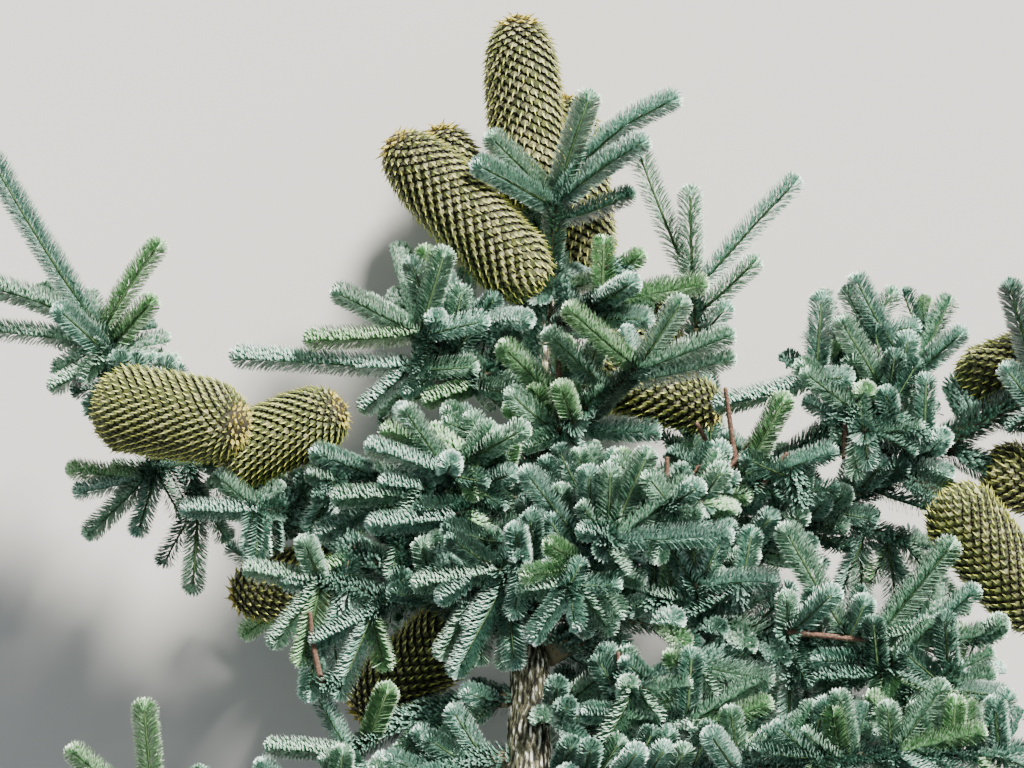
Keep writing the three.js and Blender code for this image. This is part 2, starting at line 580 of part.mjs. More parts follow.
// Keeps the one outer skin of a joined solid, without sealed hollows or loose scraps
function outerSkin(solid) {
  const { vertProperties, triVerts, numProp } = solid.getMesh();
  const group = Array.from({ length: vertProperties.length / numProp }, (_, k) => k);
  const lead = (k) => {
    let at = k;
    while (group[at] !== at) {
      group[at] = group[group[at]];
      at = group[at];
    }
    return at;
  };
  for (let f = 0; f < triVerts.length; f += 3) {
    group[lead(triVerts[f + 1])] = lead(triVerts[f]);
    group[lead(triVerts[f + 2])] = lead(triVerts[f]);
  }
  const point = (k) => Array.from(vertProperties.subarray(k * numProp, k * numProp + 3));
  const volume = new Map();
  for (let f = 0; f < triVerts.length; f += 3) {
    const [a, b, c] = [point(triVerts[f]), point(triVerts[f + 1]), point(triVerts[f + 2])];
    const key = lead(triVerts[f]);
    volume.set(key, (volume.get(key) || 0) + dot(a, cross(b, c)));
  }
  const largest = [...volume].reduce((best, item) => (item[1] > best[1] ? item : best))[0];
  const renumber = new Map();
  const points = [];
  const faces = [];
  for (let f = 0; f < triVerts.length; f += 1) {
    const k = triVerts[f];
    if (lead(k) !== largest) {
      continue;
    }
    if (!renumber.has(k)) {
      renumber.set(k, renumber.size);
      points.push(...point(k));
    }
    faces.push(renumber.get(k));
  }
  return { points: new Float32Array(points), faces: new Uint32Array(faces) };
}

function buildLimb(limb, sides, rings) {
  const centres = Array.from({ length: rings }, (_, k) => limb.at(k / (rings - 1)));
  return closedTube(centres, sides, (k) => {
    const t = k / (rings - 1);
    return [limb.radii[0] + (limb.radii[1] - limb.radii[0]) * t, 0];
  }, null);
}

function buildCone(cone, limbs) {
  const centres = [];
  for (let k = 0; k < CONE_RINGS; k += 1) {
    centres.push(mix(cone.base, cone.tip, (0.97 * k) / (CONE_RINGS - 1)));
  }
  const step = size(minus(centres[1], centres[0]));
  const body = closedTube(centres, CONE_SIDES, (k, j) => {
    const full = coneRadius(cone.radius, (0.97 * k) / (CONE_RINGS - 1));
    const outer = (k + j) % 2 === 0;
    const inner = k > 0 && !outer;
    return [full * (inner ? 1 - SCALE_DEPTH : 1), outer && k > 0 ? -0.25 * step : 0];
  }, cone.tip);
  const inside = mix(cone.base, cone.tip, STALK_DEPTH);
  const stalk = closedTube([stalkRoot(cone, limbs), inside], 6, () => [STALK_RADIUS, 0], null);
  return join([body, stalk]);
}

function meshOf(name, solid, slot) {
  const { points, faces } = outerSkin(solid);
  const geometry = new THREE.BufferGeometry();
  geometry.setAttribute("position", new THREE.BufferAttribute(points, 3));
  geometry.setIndex(new THREE.BufferAttribute(faces, 1));
  geometry.computeVertexNormals();
  const mesh = new THREE.Mesh(
    geometry,
    new THREE.MeshStandardMaterial({ color: COLOURS[slot], roughness: 0.8, metalness: 0 }),
  );
  mesh.name = name;
  return mesh;
}

const COLOURS = { bark: 0x6f6a55, cone: 0xb39f74, needles: 0x7fa596 };

function buildTreetop() {
  const group = new THREE.Group();
  group.name = "treetop";
  const limbs = growLimbs();
  for (const [name, limb] of limbs) {
    const solid = name === "trunk"
      ? buildLimb(limb, TRUNK_SIDES, TRUNK_RINGS)
      : buildLimb(limb, BOUGH_SIDES, BOUGH_RINGS);
    group.add(meshOf(name, solid, "bark"));
  }
  for (const cone of CONES) {
    group.add(meshOf(cone.name, buildCone(cone, limbs), "cone"));
  }
  for (const mass of growMasses(limbs)) {
    const pieces = mass.twigs.map((twig) => (twig.kind === "shoot" ? toothedShoot(twig) : roundTwig(twig)));
    const solid = join(pieces);
    group.add(meshOf(mass.name, solid, "needles"));
  }
  const box = new THREE.Box3().setFromObject(group);
  const shift = [-(box.min.x + box.max.x) / 2, -(box.min.y + box.max.y) / 2, -box.min.z];
  for (const mesh of group.children) {
    mesh.geometry.translate(...shift);
  }
  return group;
}

export default buildTreetop();
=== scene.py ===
"""Dressed model of a cut noble fir treetop with cones, lying on its far-side shoots."""
import json
import math
import bpy
import numpy as np
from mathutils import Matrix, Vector, noise


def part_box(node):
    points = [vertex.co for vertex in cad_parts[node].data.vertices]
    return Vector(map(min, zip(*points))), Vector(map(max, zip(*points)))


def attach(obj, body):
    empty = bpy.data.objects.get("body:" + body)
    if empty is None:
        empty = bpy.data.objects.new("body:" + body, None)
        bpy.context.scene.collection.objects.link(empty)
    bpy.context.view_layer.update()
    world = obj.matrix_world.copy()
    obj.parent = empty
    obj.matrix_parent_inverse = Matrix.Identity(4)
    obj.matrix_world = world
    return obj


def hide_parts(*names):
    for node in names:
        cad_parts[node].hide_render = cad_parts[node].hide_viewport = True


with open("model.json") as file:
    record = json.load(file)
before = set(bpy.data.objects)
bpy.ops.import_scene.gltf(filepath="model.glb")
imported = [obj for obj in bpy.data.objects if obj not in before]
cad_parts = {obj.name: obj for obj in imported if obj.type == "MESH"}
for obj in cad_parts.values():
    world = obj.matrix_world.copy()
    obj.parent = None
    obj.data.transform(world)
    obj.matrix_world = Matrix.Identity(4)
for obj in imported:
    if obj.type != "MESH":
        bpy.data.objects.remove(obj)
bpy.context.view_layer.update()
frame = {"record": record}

# Growth rule of the solids, in millimetres and degrees
SEAT_GAP = 0.3
KEEP_CLEAR = 0.9
FLOOR_CLEAR = 1.0
SHOOT_RADIUS = 10.4
SHOOT_ROOT_RADIUS = 3.6
SHOOT_SWELL = 0.55
TIP_OVERHANG = 8.0
STEM_ROOT_RADIUS = 2.2
STEM_RADIUS = 4.2
BARE_RADIUS = 3.2
ARC_STEPS = 6
STALK_RADIUS = 4.0
STALK_DEPTH = 0.08
TRUNK_RINGS = 10
BOUGH_RINGS = 5
BALL_STEP = 4
BACK_SHOOTS = 4
BACK_START = 0.35
BACK_RISE = (-16, 34)
BACK_LENGTH = (46, 76)
RISE_TRIES = (0, 7, -7, 14, -14, 22, -22, 30, -30, 40, -40)
CUT_CENTRE = (13, -417, 300)

# Limbs: carrier, place along it, point passed half way, tip, and diameters at root and tip
LIMBS = {
    "trunk": (None, 0, (16, -160, 212), (31, 100, 116), (44, 11)),
    "bough_right_low": ("trunk", 0.46, (150, -188, 252), (218, -205, 275), (16, 9)),
    "bough_left_low": ("trunk", 0.42, (-60, -168, 238), (-130, -131, 238), (17, 10)),
    "bough_left_inner": ("trunk", 0.53, (-46, -141, 196), (-98, -118, 204), (9, 6)),
    "bough_far_left": ("bough_left_low", 0.86, (-212, -76, 154), (-318, 8, 160), (10, 7)),
    "bough_right_high": ("trunk", 0.515, (166, -93, 186), (270, -25, 200), (15, 8)),
    "bough_right_far": ("trunk", 0.38, (205, -125, 188), (410, -8, 228), (20, 9)),
    "bough_spire": ("bough_right_high", 0.45, (158, -40, 118), (150, 45, 108), (9, 7)),
    "bough_low_left": ("trunk", 0.33, (-50, -258, 236), (-98, -274, 234), (13, 8)),
    "bough_foot_left": ("trunk", 0.235, (-60, -305, 262), (-125, -330, 262), (14, 8)),
    "bough_low_right": ("trunk", 0.315, (44, -262, 266), (72, -258, 270), (13, 9)),
    "bough_foot_right": ("trunk", 0.2, (96, -316, 304), (164, -308, 312), (17, 11)),
    "bough_foot_far_left": ("trunk", 0.11, (-130, -375, 238), (-245, -368, 225), (17, 9)),
    "bough_back_left": ("trunk", 0.47, (-60, -148, 140), (-116, -158, 104), (15, 9)),
    "bough_back_right": ("trunk", 0.33, (86, -256, 168), (142, -250, 116), (15, 9)),
    "bough_back_low": ("trunk", 0.16, (12, -368, 196), (17, -380, 146), (15, 9)),
}

# Cones: carrier, place along it, centre of the base, tip and greatest radius
CONES = {
    "cone_top": ("trunk", 1, (16, 142, 95), (5, 296, 92), 31),
    "cone_top_left": ("trunk", 0.955, (22, 76, 158), (-96, 196, 154), 31),
    "cone_top_left_behind": ("trunk", 0.93, (-10, 84, 88), (-60, 207, 72), 26),
    "cone_top_right": ("trunk", 0.965, (60, 88, 60), (45, 232, 36), 28),
    "cone_right_middle": ("trunk", 0.84, (56, 12, 178), (166, -22, 166), 25),
    "cone_far_left": ("bough_far_left", 0.93, (-330, -17, 208), (-214, -33, 258), 35),
    "cone_far_left_inner": ("bough_far_left", 0.55, (-236, -62, 188), (-136, -20, 206), 30),
    "cone_left_low": ("bough_left_low", 0.6, (-124, -142, 182), (-222, -172, 160), 27),
    "cone_left_hanging": ("bough_left_low", 0.3, (-36, -190, 196), (-122, -266, 178), 31),
    "cone_far_right_upper": ("bough_right_far", 0.9, (358, -4, 186), (468, 36, 190), 28),
    "cone_far_right_middle": ("bough_right_far", 0.84, (378, -66, 196), (474, -98, 182), 27),
    "cone_far_right_lower": ("bough_right_far", 0.76, (342, -86, 250), (424, -190, 254), 31),
    "cone_behind": ("trunk", 0.78, (64, -16, 96), (132, 66, 56), 26),
}

# Masses: carrier, place along it, and per stem its start on the first one, its end and its shoots,
# each shoot with its place on the stem, bearing, rise, reach, bend and kind
MASSES = {
    "leader_shoots": ("trunk", 0.95, [
        (0, (36, 153, 146), [(0.85, 151, 10, 79, 6), (0.95, 136, 18, 71), (1, 72, 20, 84, -4),
        (0.97, 41, 6, 122, -40), (0.9, 36, 12, 84, -14), (0.7, 19, -2, 60, 12)])]),
    "spire_shoots": ("bough_spire", 1, [
        (0, (146, 82, 112), [(1, 112, 4, 112, -4), (1, 92, 18, 74), (0.8, 48, 0, 117, -6),
        (0.3, 43, 14, 62)])]),
    "upper_right_shoots": ("trunk", 0.885, [
        (0, (72, 68, 176), [(1, 10, 4, 78), (0.85, 32, 38, 42), (0.75, 16, -14, 64), (1, 88, -6, 44),
        (0.5, -2, 24, 58)])]),
    "left_upper_shoots": ("trunk", 0.8, [
        (0, (-86, 14, 186), [(1, 176, 0, 130, 2), (0.97, 221, 6, 45), (0.35, 62, 24, 44),
        (0.5, 200, -14, 60)]),
        (0.5, (-74, 42, 196), [(1, 183, 6, 84, -4), (1, 153, 18, 72), (1, 73, 12, 64), (1, 150, -22, 48),
        (0.9, 106, -34, 84)])]),
    "left_middle_shoots": ("trunk", 0.62, [
        (0, (-52, -70, 244), [(0.95, 124, 4, 58), (1, 160, 2, 60), (0.9, 54, 8, 45), (1, 148, -28, 52, 20),
        (0.3, 85, 10, 40), (1, 70, 70, 30)]),
        (0.4, (-84, -86, 236), [(1, 183, 8, 52)]),
        (0.3, (-44, -104, 254), [(1, 185, 8, 64, -6)])]),
    "front_upper_shoots": ("trunk", 0.69, [
        (0, (100, 14, 246), [(1, 139, 8, 68), (1, 57, 12, 60), (0.97, 21, 6, 76), (0.85, 12, -2, 82, 6),
        (0.72, 137, 5, 64), (0.38, 136, 8, 82), (0.3, -2, 10, 62, 4)])]),
    "front_middle_shoots": ("trunk", 0.487, [
        (0, (80, -122, 302), [(0.7, 128, 8, 79), (0.7, 92, 16, 64), (0.9, 66, 12, 76), (1, 38, -6, 68),
        (1, 3, 4, 86, -2), (0.2, -58, 6, 48)])]),
    "front_left_shoots": ("trunk", 0.44, [
        (0, (-10, -146, 282), [(1, 146, 26, 46), (0.8, 242, 4, 80), (1, 60, 8, 34), (1, 190, 2, 62),
        (0.7, 276, 8, 62)])]),
    "right_low_shoots": ("bough_right_low", 1, [
        (0, (278, -216, 284), [(1, 121, 10, 116, -6), (0.9, 50, 6, 112, 4), (1, 12, 0, 106),
        (1, -24, 4, 96, 20), (0.7, 66, 22, 46), (0.5, 103, 18, 46), (1, 30, -24, 70)]),
        (0.2, (262, -252, 286), [(1, -50, 0, 88), (0.6, -104, 0, 62), (1, -14, -10, 80)])]),
    "right_low_hanging": ("bough_right_low", 0.66, [
        (0, (162, -226, 250), [(1, -76, 0, 60), (1, -44, -4, 66), (1, -116, -4, 50)])]),
    "right_low_upright": ("bough_right_low", 0.5, [
        (0, (146, -158, 280), [(0.9, 95, 0, 46), (0.9, 122, 4, 48), (1, 62, -4, 50), (1, 4, 6, 58, -14),
        (0.5, 168, 0, 56, -16)])]),
    "right_high_shoots": ("bough_right_high", 1, [
        (0, (300, -8, 226), [(1, 122, 10, 66), (0.4, 95, 66, 32), (0.2, -84, -14, 52, 0, "bare")]),
        (0.2, (240, 6, 228), [(1, 196, 4, 74, -8), (0.95, 86, 8, 62), (0.35, 140, 30, 46)]),
        (0.4, (322, 10, 208), [(1, 122, 4, 84, -14), (0.95, 64, -8, 62), (1, 42, 12, 46),
        (1, 80, -28, 60)])]),
    "right_high_inner": ("bough_right_high", 0.5, [
        (0, (180, -78, 236), [(1, 62, 6, 74), (0.9, 20, 4, 76), (1, 98, 0, 78, 0, "bare"),
        (0.6, 118, -8, 60, 0, "bare"), (0.8, 152, 4, 52)])]),
    "far_right_shoots": ("bough_right_far", 1, [
        (0, (444, 6, 244), [(0.35, 108, 14, 84, -6), (0.9, 100, 0, 90), (1, 66, 8, 88), (1, 26, 10, 92),
        (1, -14, 4, 88), (0.7, -50, 14, 70)])]),
    "far_right_hanging": ("bough_right_far", 0.6, [
        (0, (312, -124, 190), [(1, -8, -6, 64), (1, -48, -6, 72), (0.8, -82, -4, 62),
        (0.5, -112, -10, 56)])]),
    "left_low_hanging": ("bough_left_low", 0.62, [
        (0, (-112, -182, 254), [(1, 247, 2, 66), (1, 286, 2, 40), (0.7, 206, 10, 56)]),
        (0.4, (-152, -156, 258), [(1, 232, 6, 58), (1, 256, -4, 62), (1, 110, 30, 36), (1, 170, 0, 54)])]),
    "left_inner_shoots": ("bough_left_inner", 1, [
        (0, (-108, -72, 216), [(1, 158, -4, 50), (1, 186, -8, 58), (0.9, 66, -24, 50),
        (0.5, 206, 0, 54)])]),
    "far_left_shoots": ("bough_far_left", 1, [
        (0, (-329, 42, 172), [(1, 122, 8, 162, -6), (1, 58, 4, 80, -14), (0.6, 48, 12, 50),
        (1, 157, 12, 98, 24), (0.9, 141, -16, 60), (0.8, 174, -6, 86), (0.5, 137, 34, 58),
        (0.4, 207, 0, 48), (0.5, -10, -36, 60)])]),
    "far_left_hanging": ("bough_far_left", 0.72, [
        (0, (-296, -74, 166), [(1, 173, 4, 54), (1, 192, -4, 50), (0.9, 225, 6, 64), (0.7, 253, 4, 52)]),
        (0.1, (-252, -97, 160), [(1, 266, 4, 64), (0.6, 300, -10, 50)])]),
    "far_left_inner": ("bough_far_left", 0.3, [
        (0, (-200, -100, 226), [(1, 178, 4, 56), (1, 262, 14, 40), (0.8, -38, 12, 60), (1, 140, 10, 40)])]),
    "low_left_shoots": ("bough_low_left", 1, [
        (0, (-128, -292, 246), [(1, 120, 4, 52), (1, 176, 0, 60), (1, 225, 0, 60), (0.6, 68, 20, 46)])]),
    "foot_left_shoots": ("bough_foot_left", 1, [
        (0, (-160, -345, 266), [(1, 130, 4, 56), (1, 170, 8, 80), (1, 215, 0, 70), (0.4, 84, 14, 44),
        (0.6, -70, 0, 60)])]),
    "foot_far_left_shoots": ("bough_foot_far_left", 1, [
        (0, (-285, -345, 226), [(1, 95, 4, 86), (1, 140, 4, 80), (1, 184, 6, 90), (0.6, 226, 0, 70),
        (0.3, 80, -10, 50), (1, 150, -40, 76)])]),
    "low_right_shoots": ("bough_low_right", 1, [
        (0, (138, -266, 300), [(1, 86, 0, 50), (1, 30, 0, 58), (1, -20, 0, 58), (0.6, 112, 0, 52),
        (0.8, -84, 6, 56), (0.1, 96, 2, 44), (0.15, -70, 4, 46), (0.4, 176, 20, 40)])]),
    "foot_right_shoots": ("bough_foot_right", 1, [
        (0, (300, -288, 338), [(1, 54, 0, 60), (1, 14, 4, 66), (1, -34, 4, 70), (0.75, 100, 4, 46),
        (0.6, -80, 0, 60), (0.1, 124, 2, 48), (0.4, 70, 2, 46), (0.15, -60, 0, 60)]),
        (0.9, (362, -292, 328), [(1, 60, 4, 52), (1, 8, 0, 78), (1, -44, 0, 60)])]),
    "back_left_shoots": ("bough_back_left", 1, [
        (0, (-184, -164, 52), [(0.15, 118, -8, 70), (0.2, 238, -4, 74), (0.55, 150, 22, 62),
        (0.6, 214, -12, 66)])]),
    "back_right_shoots": ("bough_back_right", 1, [
        (0, (214, -238, 52), [(0.15, 62, -6, 74), (0.2, -62, -6, 70), (0.55, 24, 24, 62),
        (0.6, -30, -10, 66)])]),
    "back_low_shoots": ("bough_back_low", 1, [
        (0, (20, -392, 54), [(0.1, -20, -4, 72), (0.15, 200, -4, 72), (0.4, -100, 8, 58),
        (0.55, 64, -6, 60)])]),
    "back_upper_shoots": ("trunk", 0.8, [
        (0, (24, 42, 54), [(0.3, 176, -8, 70), (0.35, 16, -14, 62)])]),
    "back_middle_left": ("trunk", 0.6, [
        (0, (-50, -84, 106), [(1, 182, -8, 80), (1, 134, -16, 76), (1, 228, -14, 74), (0.9, 92, -30, 62),
        (0.7, 262, -30, 60), (1, 176, -52, 60)])]),
    "back_middle_right": ("trunk", 0.55, [
        (0, (84, -112, 116), [(1, 2, -8, 80), (1, 46, -16, 74), (1, -44, -14, 72), (0.9, 92, -34, 60),
        (0.7, -86, -26, 60), (1, 10, -52, 60)])]),
}

# Seeded masses of the far side: seed, foot on the floor, and middle and half width of the bearings
BACK_MASSES = {
    "back_left_shoots": (35, (-194, -158, 0), 180, 130),
    "back_right_shoots": (36, (226, -236, 0), 0, 130),
    "back_low_shoots": (38, (22, -396, 0), -90, 150),
    "back_upper_shoots": (37, (22, 52, 0), 80, 150),
}

# Shorter shoots between the named ones: x, y, z, bearing, rise, reach and bend
FINER = {
    "left_upper_shoots": [
        (-34, 58, 158, 100, -6, 30), (-72, 62, 168, 86, 4, 42), (34, -9, 192, 132, 6, 38),
        (-29, 53, 168, 50, 10, 20), (-18, 53, 172, 0, 4, 38), (-22, 8, 184, 135, 16, 18),
        (-30, 54, 166, 162, -6, 24), (-60, 47, 180, 96, 72, 22), (-30, -1, 190, 196, 8, 36),
        (-38, -27, 198, 149, 10, 16)],
    "left_middle_shoots": [
        (-9, -70, 226, 72, 16, 22), (-34, -60, 232, 39, 14, 18), (-71, -82, 240, 171, 8, 28),
        (-75, -51, 236, 145, 10, 28, 60), (-57, -118, 240, 250, 74, 24), (-90, -125, 248, 256, 6, 24),
        (-40, -128, 256, -26, 12, 33), (-25, -135, 258, 60, 16, 18)],
    "left_low_hanging": [
        (-150, -57, 214, -16, 6, 34), (-142, -77, 222, 159, 10, 16), (-130, -141, 252, 193, 4, 26),
        (-160, -159, 256, 170, 10, 16), (-134, -173, 250, 243, -2, 40), (-160, -213, 242, 266, 0, 36)],
    "far_left_inner": [
        (-206, -97, 230, 264, 2, 30)],
    "front_left_shoots": [
        (-20, -176, 262, 262, 0, 40), (-36, -178, 266, 240, 0, 38), (-4, -186, 264, 268, 0, 34),
        (0, -128, 262, -45, 38, 26), (14, -150, 270, -50, 26, 24), (6, -176, 268, 262, 2, 30),
        (-14, -160, 272, 236, 4, 34), (8, -142, 280, 100, 30, 30), (-30, -150, 284, 214, 16, 30)],
    "front_middle_shoots": [
        (58, -98, 262, 96, 4, 40), (78, -92, 268, 84, 4, 34), (100, -88, 280, 110, 4, 32),
        (36, -104, 256, 100, 2, 40), (74, -118, 302, 170, 12, 16), (78, -106, 288, 100, -10, 26),
        (150, -94, 292, -10, -4, 24), (128, -99, 302, 0, 8, 16), (42, -163, 300, 64, 0, 22),
        (74, -128, 300, -50, 6, 20), (66, -148, 284, -8, 4, 34, -30), (30, -134, 272, 112, 22, 34),
        (38, -120, 270, 88, 20, 36), (24, -150, 262, 180, 30, 26), (30, -150, 268, -70, 14, 26),
        (52, -138, 290, 150, 30, 26)],
    "upper_right_shoots": [
        (86, 92, 166, 40, 10, 18), (42, 77, 152, 20, -4, 38), (79, 56, 166, 18, 6, 28)],
    "front_upper_shoots": [
        (58, -18, 226, 49, 12, 18), (42, -14, 206, -56, 16, 18), (104, 10, 240, 112, -24, 34),
        (26, -36, 206, 100, 20, 32), (38, -34, 214, 72, 16, 32), (20, -30, 204, 150, 24, 24),
        (50, -30, 226, 110, 22, 30), (44, 4, 210, 96, 20, 30), (60, 10, 226, 70, 18, 28)],
    "right_low_upright": [
        (180, -170, 268, 80, 0, 50), (176, -176, 264, 20, 4, 28), (111, -174, 268, 86, 0, 38),
        (122, -173, 270, 82, 2, 30), (135, -170, 272, 77, 2, 26), (148, -172, 272, 62, 2, 26)],
    "right_low_hanging": [
        (220, -234, 284, 268, 0, 40), (166, -213, 276, -58, 4, 20), (196, -261, 290, 249, 0, 44),
        (138, -228, 290, 128, 10, 16)],
    "right_low_shoots": [
        (346, -226, 290, 0, 2, 46), (348, -240, 284, -6, 2, 44), (336, -236, 286, 10, 0, 40),
        (332, -190, 284, 40, 2, 40), (371, -199, 278, 38, 4, 24), (300, -221, 296, 46, 8, 42),
        (290, -230, 300, 96, 12, 40), (310, -250, 296, -8, 10, 56), (280, -270, 290, -70, 4, 50)],
    "far_right_hanging": [
        (300, -130, 184, -60, 0, 50), (280, -126, 184, -90, 0, 48), (318, -124, 184, -20, 0, 54)],
    "right_high_inner": [
        (230, -93, 232, 85, 2, 30), (192, -61, 220, 135, 2, 26)],
    "right_high_shoots": [
        (257, -24, 226, 150, 6, 20), (282, 41, 194, 88, -4, 20), (330, 30, 200, 70, 6, 22),
        (280, -37, 244, 97, 8, 28), (261, 20, 202, 80, 56, 18), (302, -26, 240, 102, 10, 18),
        (328, -41, 236, 88, 4, 42)],
    "far_right_shoots": [
        (420, -20, 236, 128, 6, 40)],
    "foot_left_shoots": [
        (-130, -300, 256, 170, 6, 16)],
    "low_right_shoots": [
        (82, -238, 278, 104, 2, 28), (92, -250, 282, 90, 70, 24), (103, -241, 300, 9, 4, 32),
        (77, -262, 290, 0, 6, 30), (90, -262, 284, 250, 4, 34), (120, -262, 292, 262, 4, 34),
        (112, -236, 290, 140, 16, 26)],
    "foot_right_shoots": [
        (150, -273, 306, 164, 0, 32), (230, -299, 314, 143, 6, 20), (260, -300, 330, 100, 8, 40),
        (330, -300, 334, 104, 6, 44), (180, -300, 318, 100, 4, 40), (206, -300, 322, 60, 6, 40),
        (190, -306, 318, 250, 2, 40), (240, -294, 330, 262, 2, 44), (300, -296, 336, 96, 14, 40),
        (344, -292, 334, 84, 6, 40), (384, -292, 330, 96, 4, 40)],
}

# Bare axes of old cones and dead twigs, in the same way
OLD_AXES = {
    "front_upper_shoots": [(38, -38, 216, 91, 2, 64)],
    "front_middle_shoots": [
        (64, -100, 268, 72, 2, 40), (123, -92, 272, 90, 4, 34), (130, -88, 278, 53, 4, 30),
        (144, -100, 280, 74, 2, 40)],
    "right_high_inner": [(194, -86, 238, 51, 2, 40), (158, -82, 244, 47, 2, 66)],
    "right_low_shoots": [(218, -196, 294, -6, 2, 76)],
    "low_right_shoots": [(86, -234, 292, 96, 2, 22)],
    "left_low_hanging": [(-150, -240, 262, 100, 2, 60, -14)],
    "right_high_shoots": [(266, -30, 238, 266, 0, 30), (282, -26, 238, 270, 0, 34)],
}

# Sky seen through the crown: x, y and radius kept open
OPENINGS = [
    (-66, -20, 14), (6, 61, 6), (-14, -108, 8), (214, -12, 26), (234, -28, 26), (186, -172, 18),
    (110, -212, 22), (374, -180, 20), (-150, 30, 60), (-180, -150, 20), (130, 100, 26), (150, -30, 8),
    (-230, -122, 24), (-194, -222, 30), (-136, -222, 22), (-114, -205, 14), (-178, -293, 28),
    (-112, -44, 22), (-110, 99, 24), (80, 135, 12), (166, 27, 16), (-290, -125, 16), (118, -57, 12),
    (182, -30, 20), (256, -66, 14), (-38, -227, 14), (-34, -297, 18), (-26, -265, 8), (-332, 91, 16),
    (236, -199, 12), (256, -201, 12), (276, -203, 12), (94, 115, 16), (186, 51, 16), (173, 7, 18),
    (270, 92, 14)
]

# A way whose rise is under this has its sides chosen from the upright
STEEP = 0.9
# Steps on the way out of a limb, and how far along it the clearance is looked at
SEAT_STEP = 0.05
SEAT_PLACES = np.arange(-60, 61) / 400
RIM_POINTS = 12
CONE_BALLS = 40
# A cone's girth at its base, as a share of its greatest, and how fast it widens, and where it starts to
# fall, how long the fall is and how round
CONE_BASE = 0.6
CONE_WIDENING = 2.6
FALL_START = 0.5
FALL_RUN = 0.52
FALL_POWER = 2.6
GOLDEN_TURN = math.pi * (3 - math.sqrt(5))


def vec(a):
    return np.asarray(a, dtype=float)


def unit(a):
    return a / np.linalg.norm(a)


def unit_rows(a):
    return a / np.maximum(np.linalg.norm(a, axis=-1, keepdims=True), 1e-9)


def mix(a, b, t):
    return a + (b - a) * t


def length_of(a, b):
    return float(np.linalg.norm(b - a))


def sides_of(way):
    """Two sides square to a way and to each other."""
    side = unit(np.cross(way, [0, 0, 1] if abs(way[2]) < STEEP else [1, 0, 0]))
    return side, np.cross(way, side)


def seeded(seed):
    """The same run of chances as the solids were grown with."""
    state = seed

    def draw():
        nonlocal state
        state = (state + 0x6D2B79F5) & 0xFFFFFFFF
        t = state
        t = ((t ^ (t >> 15)) * (t | 1)) & 0xFFFFFFFF
        t ^= (t + (((t ^ (t >> 7)) * (t | 61)) & 0xFFFFFFFF)) & 0xFFFFFFFF
        return (t ^ (t >> 14)) / 4294967296

    return draw


def heading(bearing, rise):
    b, r = math.radians(bearing), math.radians(rise)
    return vec([math.cos(b) * math.cos(r), math.sin(b) * math.cos(r), math.sin(r)])


def along_points(points, t):
    """A place on the straight runs between points, t from 0 to 1."""
    points = np.asarray(points)
    at = np.clip(np.asarray(t, dtype=float), 0, 1 - 1e-6) * (len(points) - 1)
    k = np.floor(at).astype(int)
    return points[k] + (points[k + 1] - points[k]) * (at - k)[..., None]


def spaced(points, count, end=1.0):
    """Evenly spaced places on the straight runs between points."""
    return along_points(points, np.linspace(0, end, count))


class Limb:
    """Tapering limb: the straight runs of the solid, and the smooth curve that they follow."""

    def __init__(self, start, via, tip, wide, rings):
        start, via, tip = vec(start), vec(via), vec(tip)
        self.pull = via * 2 - mix(start, tip, 0.5)
        self.start, self.tip = start, tip
        self.rings = self.curve(np.arange(rings) / (rings - 1))
        self.radii = (wide[0] / 2, wide[1] / 2)
        self.reach = length_of(self.at(0), self.at(1))

    def curve(self, t):
        t = np.asarray(t)[..., None]
        return mix(mix(self.start, self.pull, t), mix(self.pull, self.tip, t), t)

    def at(self, t):
        return along_points(self.rings, t)

    def radius(self, t):
        return mix(*self.radii, t)


def seat_on(limb, place, target, root_radius, headed=None):
    """First point on the way to the target at which a root is clear of the limb."""
    start = limb.at(place)
    way = unit(vec(target) - start)
    out = unit(limb.at(1) - limb.at(0.98))
    near_t = np.clip(place + SEAT_PLACES, 0, 1)
    near, near_r = limb.at(near_t), limb.radius(near_t)
    turns = np.arange(RIM_POINTS)[:, None] * math.pi / 6
    s = 2 * SEAT_STEP
    while True:
        here = start + way * s
        side, other = sides_of(headed(here) if headed else way)
        rim = here + root_radius * (np.cos(turns) * side + np.sin(turns) * other)
        gaps = (rim - start) @ out
        if place < 1:
            gaps = (np.linalg.norm(rim[:, None] - near[None], axis=2) - near_r).min(axis=1)
        if np.all(gaps >= SEAT_GAP):
            return here
        s += SEAT_STEP


def grow_limbs():
    """Trunk first, then each bough on its carrier."""
    made = {}
    for name, (carrier, place, via, tip, wide) in LIMBS.items():
        start, rings = CUT_CENTRE, TRUNK_RINGS
        if carrier:
            rings = BOUGH_RINGS

            def headed(here):
                curve = Limb(here, via, tip, wide, rings)
                return unit(curve.rings[1] - curve.rings[0])

            start = seat_on(made[carrier], place, via, wide[0] / 2, headed)
        made[name] = Limb(start, via, tip, wide, rings)
    return made


def grow_stalks(limbs):
    """Root and sunk end of each cone's stalk."""
    stalks = {}
    for name, (carrier, place, base, tip, radius) in CONES.items():
        inside = mix(vec(base), vec(tip), STALK_DEPTH)
        root = seat_on(limbs[carrier], place, inside, STALK_RADIUS, lambda here: unit(inside - here))
        stalks[name] = (root, inside)
    return stalks


def widening(t):
    return np.minimum(1, CONE_BASE + CONE_WIDENING * t)


def cone_radius(radius, t):
    """The solid's radius: wide from the base on, with a round fall to the apex."""
    fall = np.maximum(0, (t - FALL_START) / FALL_RUN)
    return radius * widening(t) * np.sqrt(np.maximum(0, 1 - fall ** FALL_POWER))


def arc(start, bearing, rise, reach, bend=0):
    """A shoot's line, whose bearing swings by the bend from root to tip."""
    points = [vec(start)]
    for k in range(ARC_STEPS):
        turn = bearing + bend * ((k + 0.5) / ARC_STEPS - 0.5)
        points.append(points[k] + heading(turn, rise) * (reach / ARC_STEPS))
    return np.array(points)


